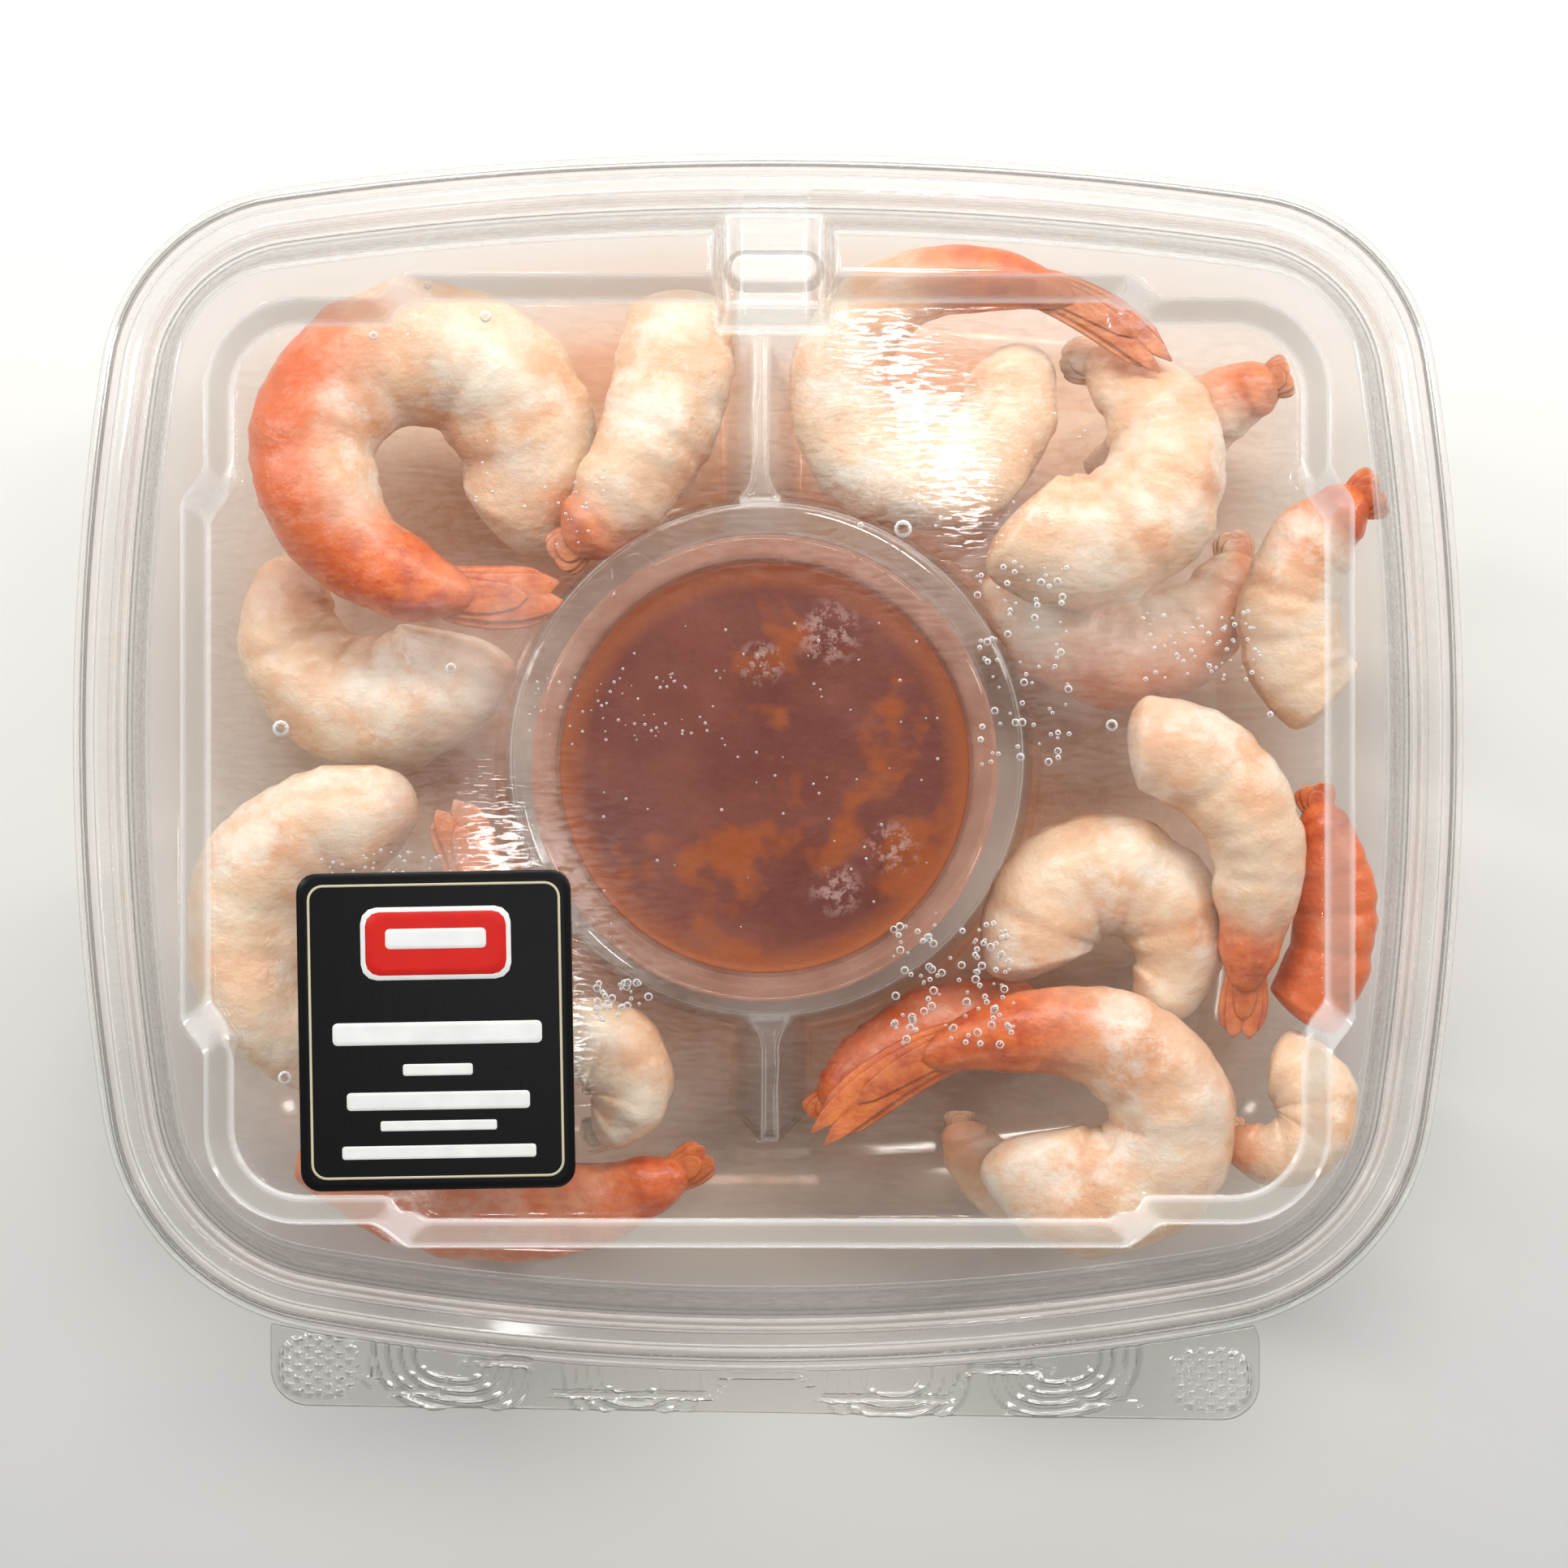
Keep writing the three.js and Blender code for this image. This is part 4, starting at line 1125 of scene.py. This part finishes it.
shrimp_finish = new_finish("cooked shrimp")
tree = shrimp_finish.node_tree
flesh = fade(
    tree, spots_on(tree, 75, 4, 0.55),
    (0.32, (0.93, 0.71, 0.51)), (0.5, (0.90, 0.60, 0.39)), (0.68, (0.86, 0.45, 0.25)),
)
milk = fade(tree, spots_on(tree, 130, 3, 0.5, shift=(0.2, 0, 0)), (0.45, 0.0), (0.66, 0.85))
flesh = mixed(tree, milk, flesh, (0.95, 0.81, 0.66, 1))
speckle = fade(tree, spots_on(tree, 190, 4, 0.65), (0.38, 0.72), (0.6, 1.0))
reddened = joined(tree, "MULTIPLY", marked(tree, "blush"), speckle)
blushed = mixed(tree, reddened, flesh, (0.80, 0.18, 0.055, 1))
at_tail = put(tree, "MapRange", {
    "Value": marked(tree, "share"), "From Min": 0.7, "From Max": 0.86, "To Max": 0.95,
}, interpolation_type="SMOOTHSTEP")
at_tail = joined(tree, "MULTIPLY", at_tail, marked(tree, "tail"))
tail_tone = fade(
    tree, spots_on(tree, 330, 3, 0.6), (0.35, (0.60, 0.075, 0.010)), (0.65, (0.90, 0.20, 0.035)),
)
shrimp_tone = mixed(tree, at_tail, blushed, tail_tone)
frost = fade(tree, spots_on(tree, 48, 6, 0.72, shift=(0, 0.3, 0.1)), (0.53, 0.0), (0.62, 0.7))
still_pale = ranged(tree, joined(tree, "ADD", at_tail, reddened), 0.8, 0.1)
frost = joined(tree, "MULTIPLY", frost, still_pale)
shrimp_tone = mixed(tree, frost, shrimp_tone, (0.97, 0.88, 0.77, 1))
fibres = joined(tree, "ADD", spots_on(tree, 420, 4, 0.6), spots_on(tree, 110, 2))
fibre_bump = bumped(tree, fibres, 0.45, 0.0009)
show(tree, put(tree, "BsdfPrincipled", {
    "Base Color": shrimp_tone,
    "Roughness": 0.36,
    "Coat Weight": 0.15,
    "Coat Roughness": 0.2,
    "Subsurface Weight": 0.25,
    "Subsurface Radius": (1.0, 0.6, 0.45),
    "Subsurface Scale": 0.004,
    "Normal": fibre_bump,
}))

# The fan's five blades: how far each stands out, how long it is and how high it lies.
fan_blades = [(0, 0.84, 0.35), (-0.2, 0.97, 0.15), (0.2, 0.97, 0.15), (-0.38, 0.92, -0.1), (0.38, 0.92, -0.1)]
blade_rings, blade_sides = 22, 10
blade_width, blade_thickness = 0.34, 0.07


def add_blade(mesh, shrimp, spread, length, lift):
    girth = shrimp["girth"]
    levels, marks = [], {"share": [], "back": []}
    for row in range(blade_rings):
        share = (row + 0.02) / (blade_rings - 0.96)
        spot, _, out, up = shrimp_spot(shrimp, fan_start - 0.02 + (1.015 - fan_start) * share * length)
        leaf = (1 - (1 - share) ** 4) ** 0.5 * (1 - share**5) ** 0.5
        half = girth * (blade_width * leaf * (0.65 + 0.35 * share))
        thick = girth * blade_thickness * (1.3 - share) * leaf
        middle = spot + out * girth * shrimp["fan"] * spread * share**0.9 + up * lift * girth * 0.25
        level, shares, backs = [], [], []
        for side in range(blade_sides):
            turn = 2 * math.pi * side / blade_sides
            level.append(middle + out * half * math.cos(turn) + up * thick * math.sin(turn))
            shares.append(0.9 + 0.1 * share)
            backs.append(math.cos(turn))
        levels.append(level)
        marks["share"].append(shares)
        marks["back"].append(backs)
    finish_shell(mesh, shrimp, levels, marks)


def finish_shell(mesh, shrimp, levels, marks):
    """Lofts a closed shell and marks it with the shrimp's own redness."""
    marks = dict(marks)
    marks["tail"] = [[shrimp["tail"]] * len(levels[0])] * len(levels)
    all_red = shrimp["red_from"] < 0
    marks["blush"] = [
        [
            shrimp["blush"]
            * smooth((share - shrimp["red_from"]) / 0.25)
            * (1.0 if all_red else smooth((back + 0.9) / 1.4))
            for share, back in zip(*pair)
        ]
        for pair in zip(marks["share"], marks["back"])
    ]
    old_faces = set(mesh.faces)
    _, edges = loft(levels, mesh, marks)
    bmesh.ops.edgeloop_fill(mesh, edges=edges)
    first = [edge for edge in mesh.edges if edge.is_boundary]
    bmesh.ops.edgeloop_fill(mesh, edges=first)
    new_faces = [face for face in mesh.faces if face not in old_faces]
    bmesh.ops.recalc_face_normals(mesh, faces=new_faces)


def add_body(mesh, shrimp, drift):
    """The body's own lumps come from its drift through one field of noise."""
    levels, marks = [], {"share": [], "back": []}
    for row in range(body_rings + 1):
        spread = 1.25 if row < 12 else 1.0
        share = body_start + (body_end - 2 * body_start) * (row / body_rings) ** spread
        spot, _, out, up = shrimp_spot(shrimp, share)
        size = shrimp["girth"] * shrimp_size(share)
        level, shares, backs = [], [], []
        for side in range(body_sides):
            turn = 2 * math.pi * side / body_sides
            turn = turn - 2 * math.pi if turn > math.pi else turn
            across = math.cos(turn) * (shrimp["plump"] if math.cos(turn) < 0 else 1.03)
            way = out * across + up * math.sin(turn)
            point = spot + way * size * muscle(share, turn)
            lump = noise.noise(point * 0.16 + drift) * 0.09 + noise.noise(point * 0.45 + drift) * 0.045
            level.append(point + way * lump * size)
            shares.append(share)
            backs.append(math.cos(turn))
        levels.append(level)
        marks["share"].append(shares)
        marks["back"].append(backs)
    finish_shell(mesh, shrimp, levels, marks)


for number, shrimp in enumerate(shrimps, 1):
    shrimp_mesh = bmesh.new()
    add_body(shrimp_mesh, shrimp, Vector((number * 7.3, number * 3.1, 0)))
    for spread, length, lift in fan_blades:
        add_blade(shrimp_mesh, shrimp, spread, length, lift)
    settle(shrimp_mesh, f"shrimp_{number:02d}_body", shrimp_finish, f"shrimp_{number:02d}")

# ---- Condensation ----
# Drops of water that hang from the underside of the lid's panel, in clusters round the cup and
# over the gaps between the shrimps.

drop_level = 41.75
rng = random.Random(4)
drop_clusters = [
    # x, y, half width, half depth, how many, radius
    (33, 12, 6, 14, 80, 0.46), (24, -29, 8, 8, 110, 0.46), (-18.5, -31, 4, 2.5, 30, 0.46),
    (56, 15, 8, 4.5, 60, 0.32), (-18, 7, 13, 5, 70, 0.2), (-50, -14, 9, 2.5, 50, 0.24),
    (-30, 35, 9, 8, 40, 0.24), (30, 38, 12, 10, 30, 0.22), (-2, -2, 24, 20, 60, 0.2),
]
single_drops = [
    (-63, 4.2, 1.1), (17.5, 30, 1.2), (-36.5, 57.5, 0.8), (-62.5, -41, 0.9), (-51, 55, 0.6),
    (-44, 61.5, 0.55), (44.5, 4.6, 0.8), (12, 30.5, 0.5), (-41, 12, 0.7), (65, 6, 0.5),
]
drops = list(single_drops)
for x, y, half_x, half_y, count, radius in drop_clusters:
    for _ in range(count):
        spot_x, spot_y = x + half_x * rng.uniform(-1, 1), y + half_y * rng.uniform(-1, 1)
        drops.append((spot_x, spot_y, radius * rng.uniform(0.45, 1.25)))
drops_mesh = bmesh.new()
for x, y, radius in drops:
    matrix = Matrix.Translation((x, y, drop_level)) @ Matrix.Diagonal((radius, radius, radius * 0.5, 1))
    fine = 2 if radius > 0.5 else 1
    bmesh.ops.create_icosphere(drops_mesh, subdivisions=fine, radius=1, matrix=matrix)
drop_finish = new_finish("water drops")
tree = drop_finish.node_tree
skin = bumped(tree, spots_on(tree, 300), 0.05, 0.0001)
drop_clear = clear_shader(tree, (0.97, 0.97, 0.97), (0.8, 0.8, 0.8), skin, 0.04, 0.05)
# Where the drops are seen edge on they are painted white: a painted highlight for the bright ring round each
# drop.
painted_drop_rim = fade(
    tree, put(tree, "LayerWeight", {"Blend": 0.5}).outputs["Facing"], (0.07, 0.0), (0.28, 0.85), (1.0, 0.9)
)
painted_rim_highlight = put(tree, "BsdfPrincipled", {"Base Color": (0.95, 0.95, 0.95, 1), "Roughness": 0.2})
show(tree, over(tree, painted_drop_rim, drop_clear, painted_rim_highlight))
settle(drops_mesh, "lid_condensation", drop_finish)
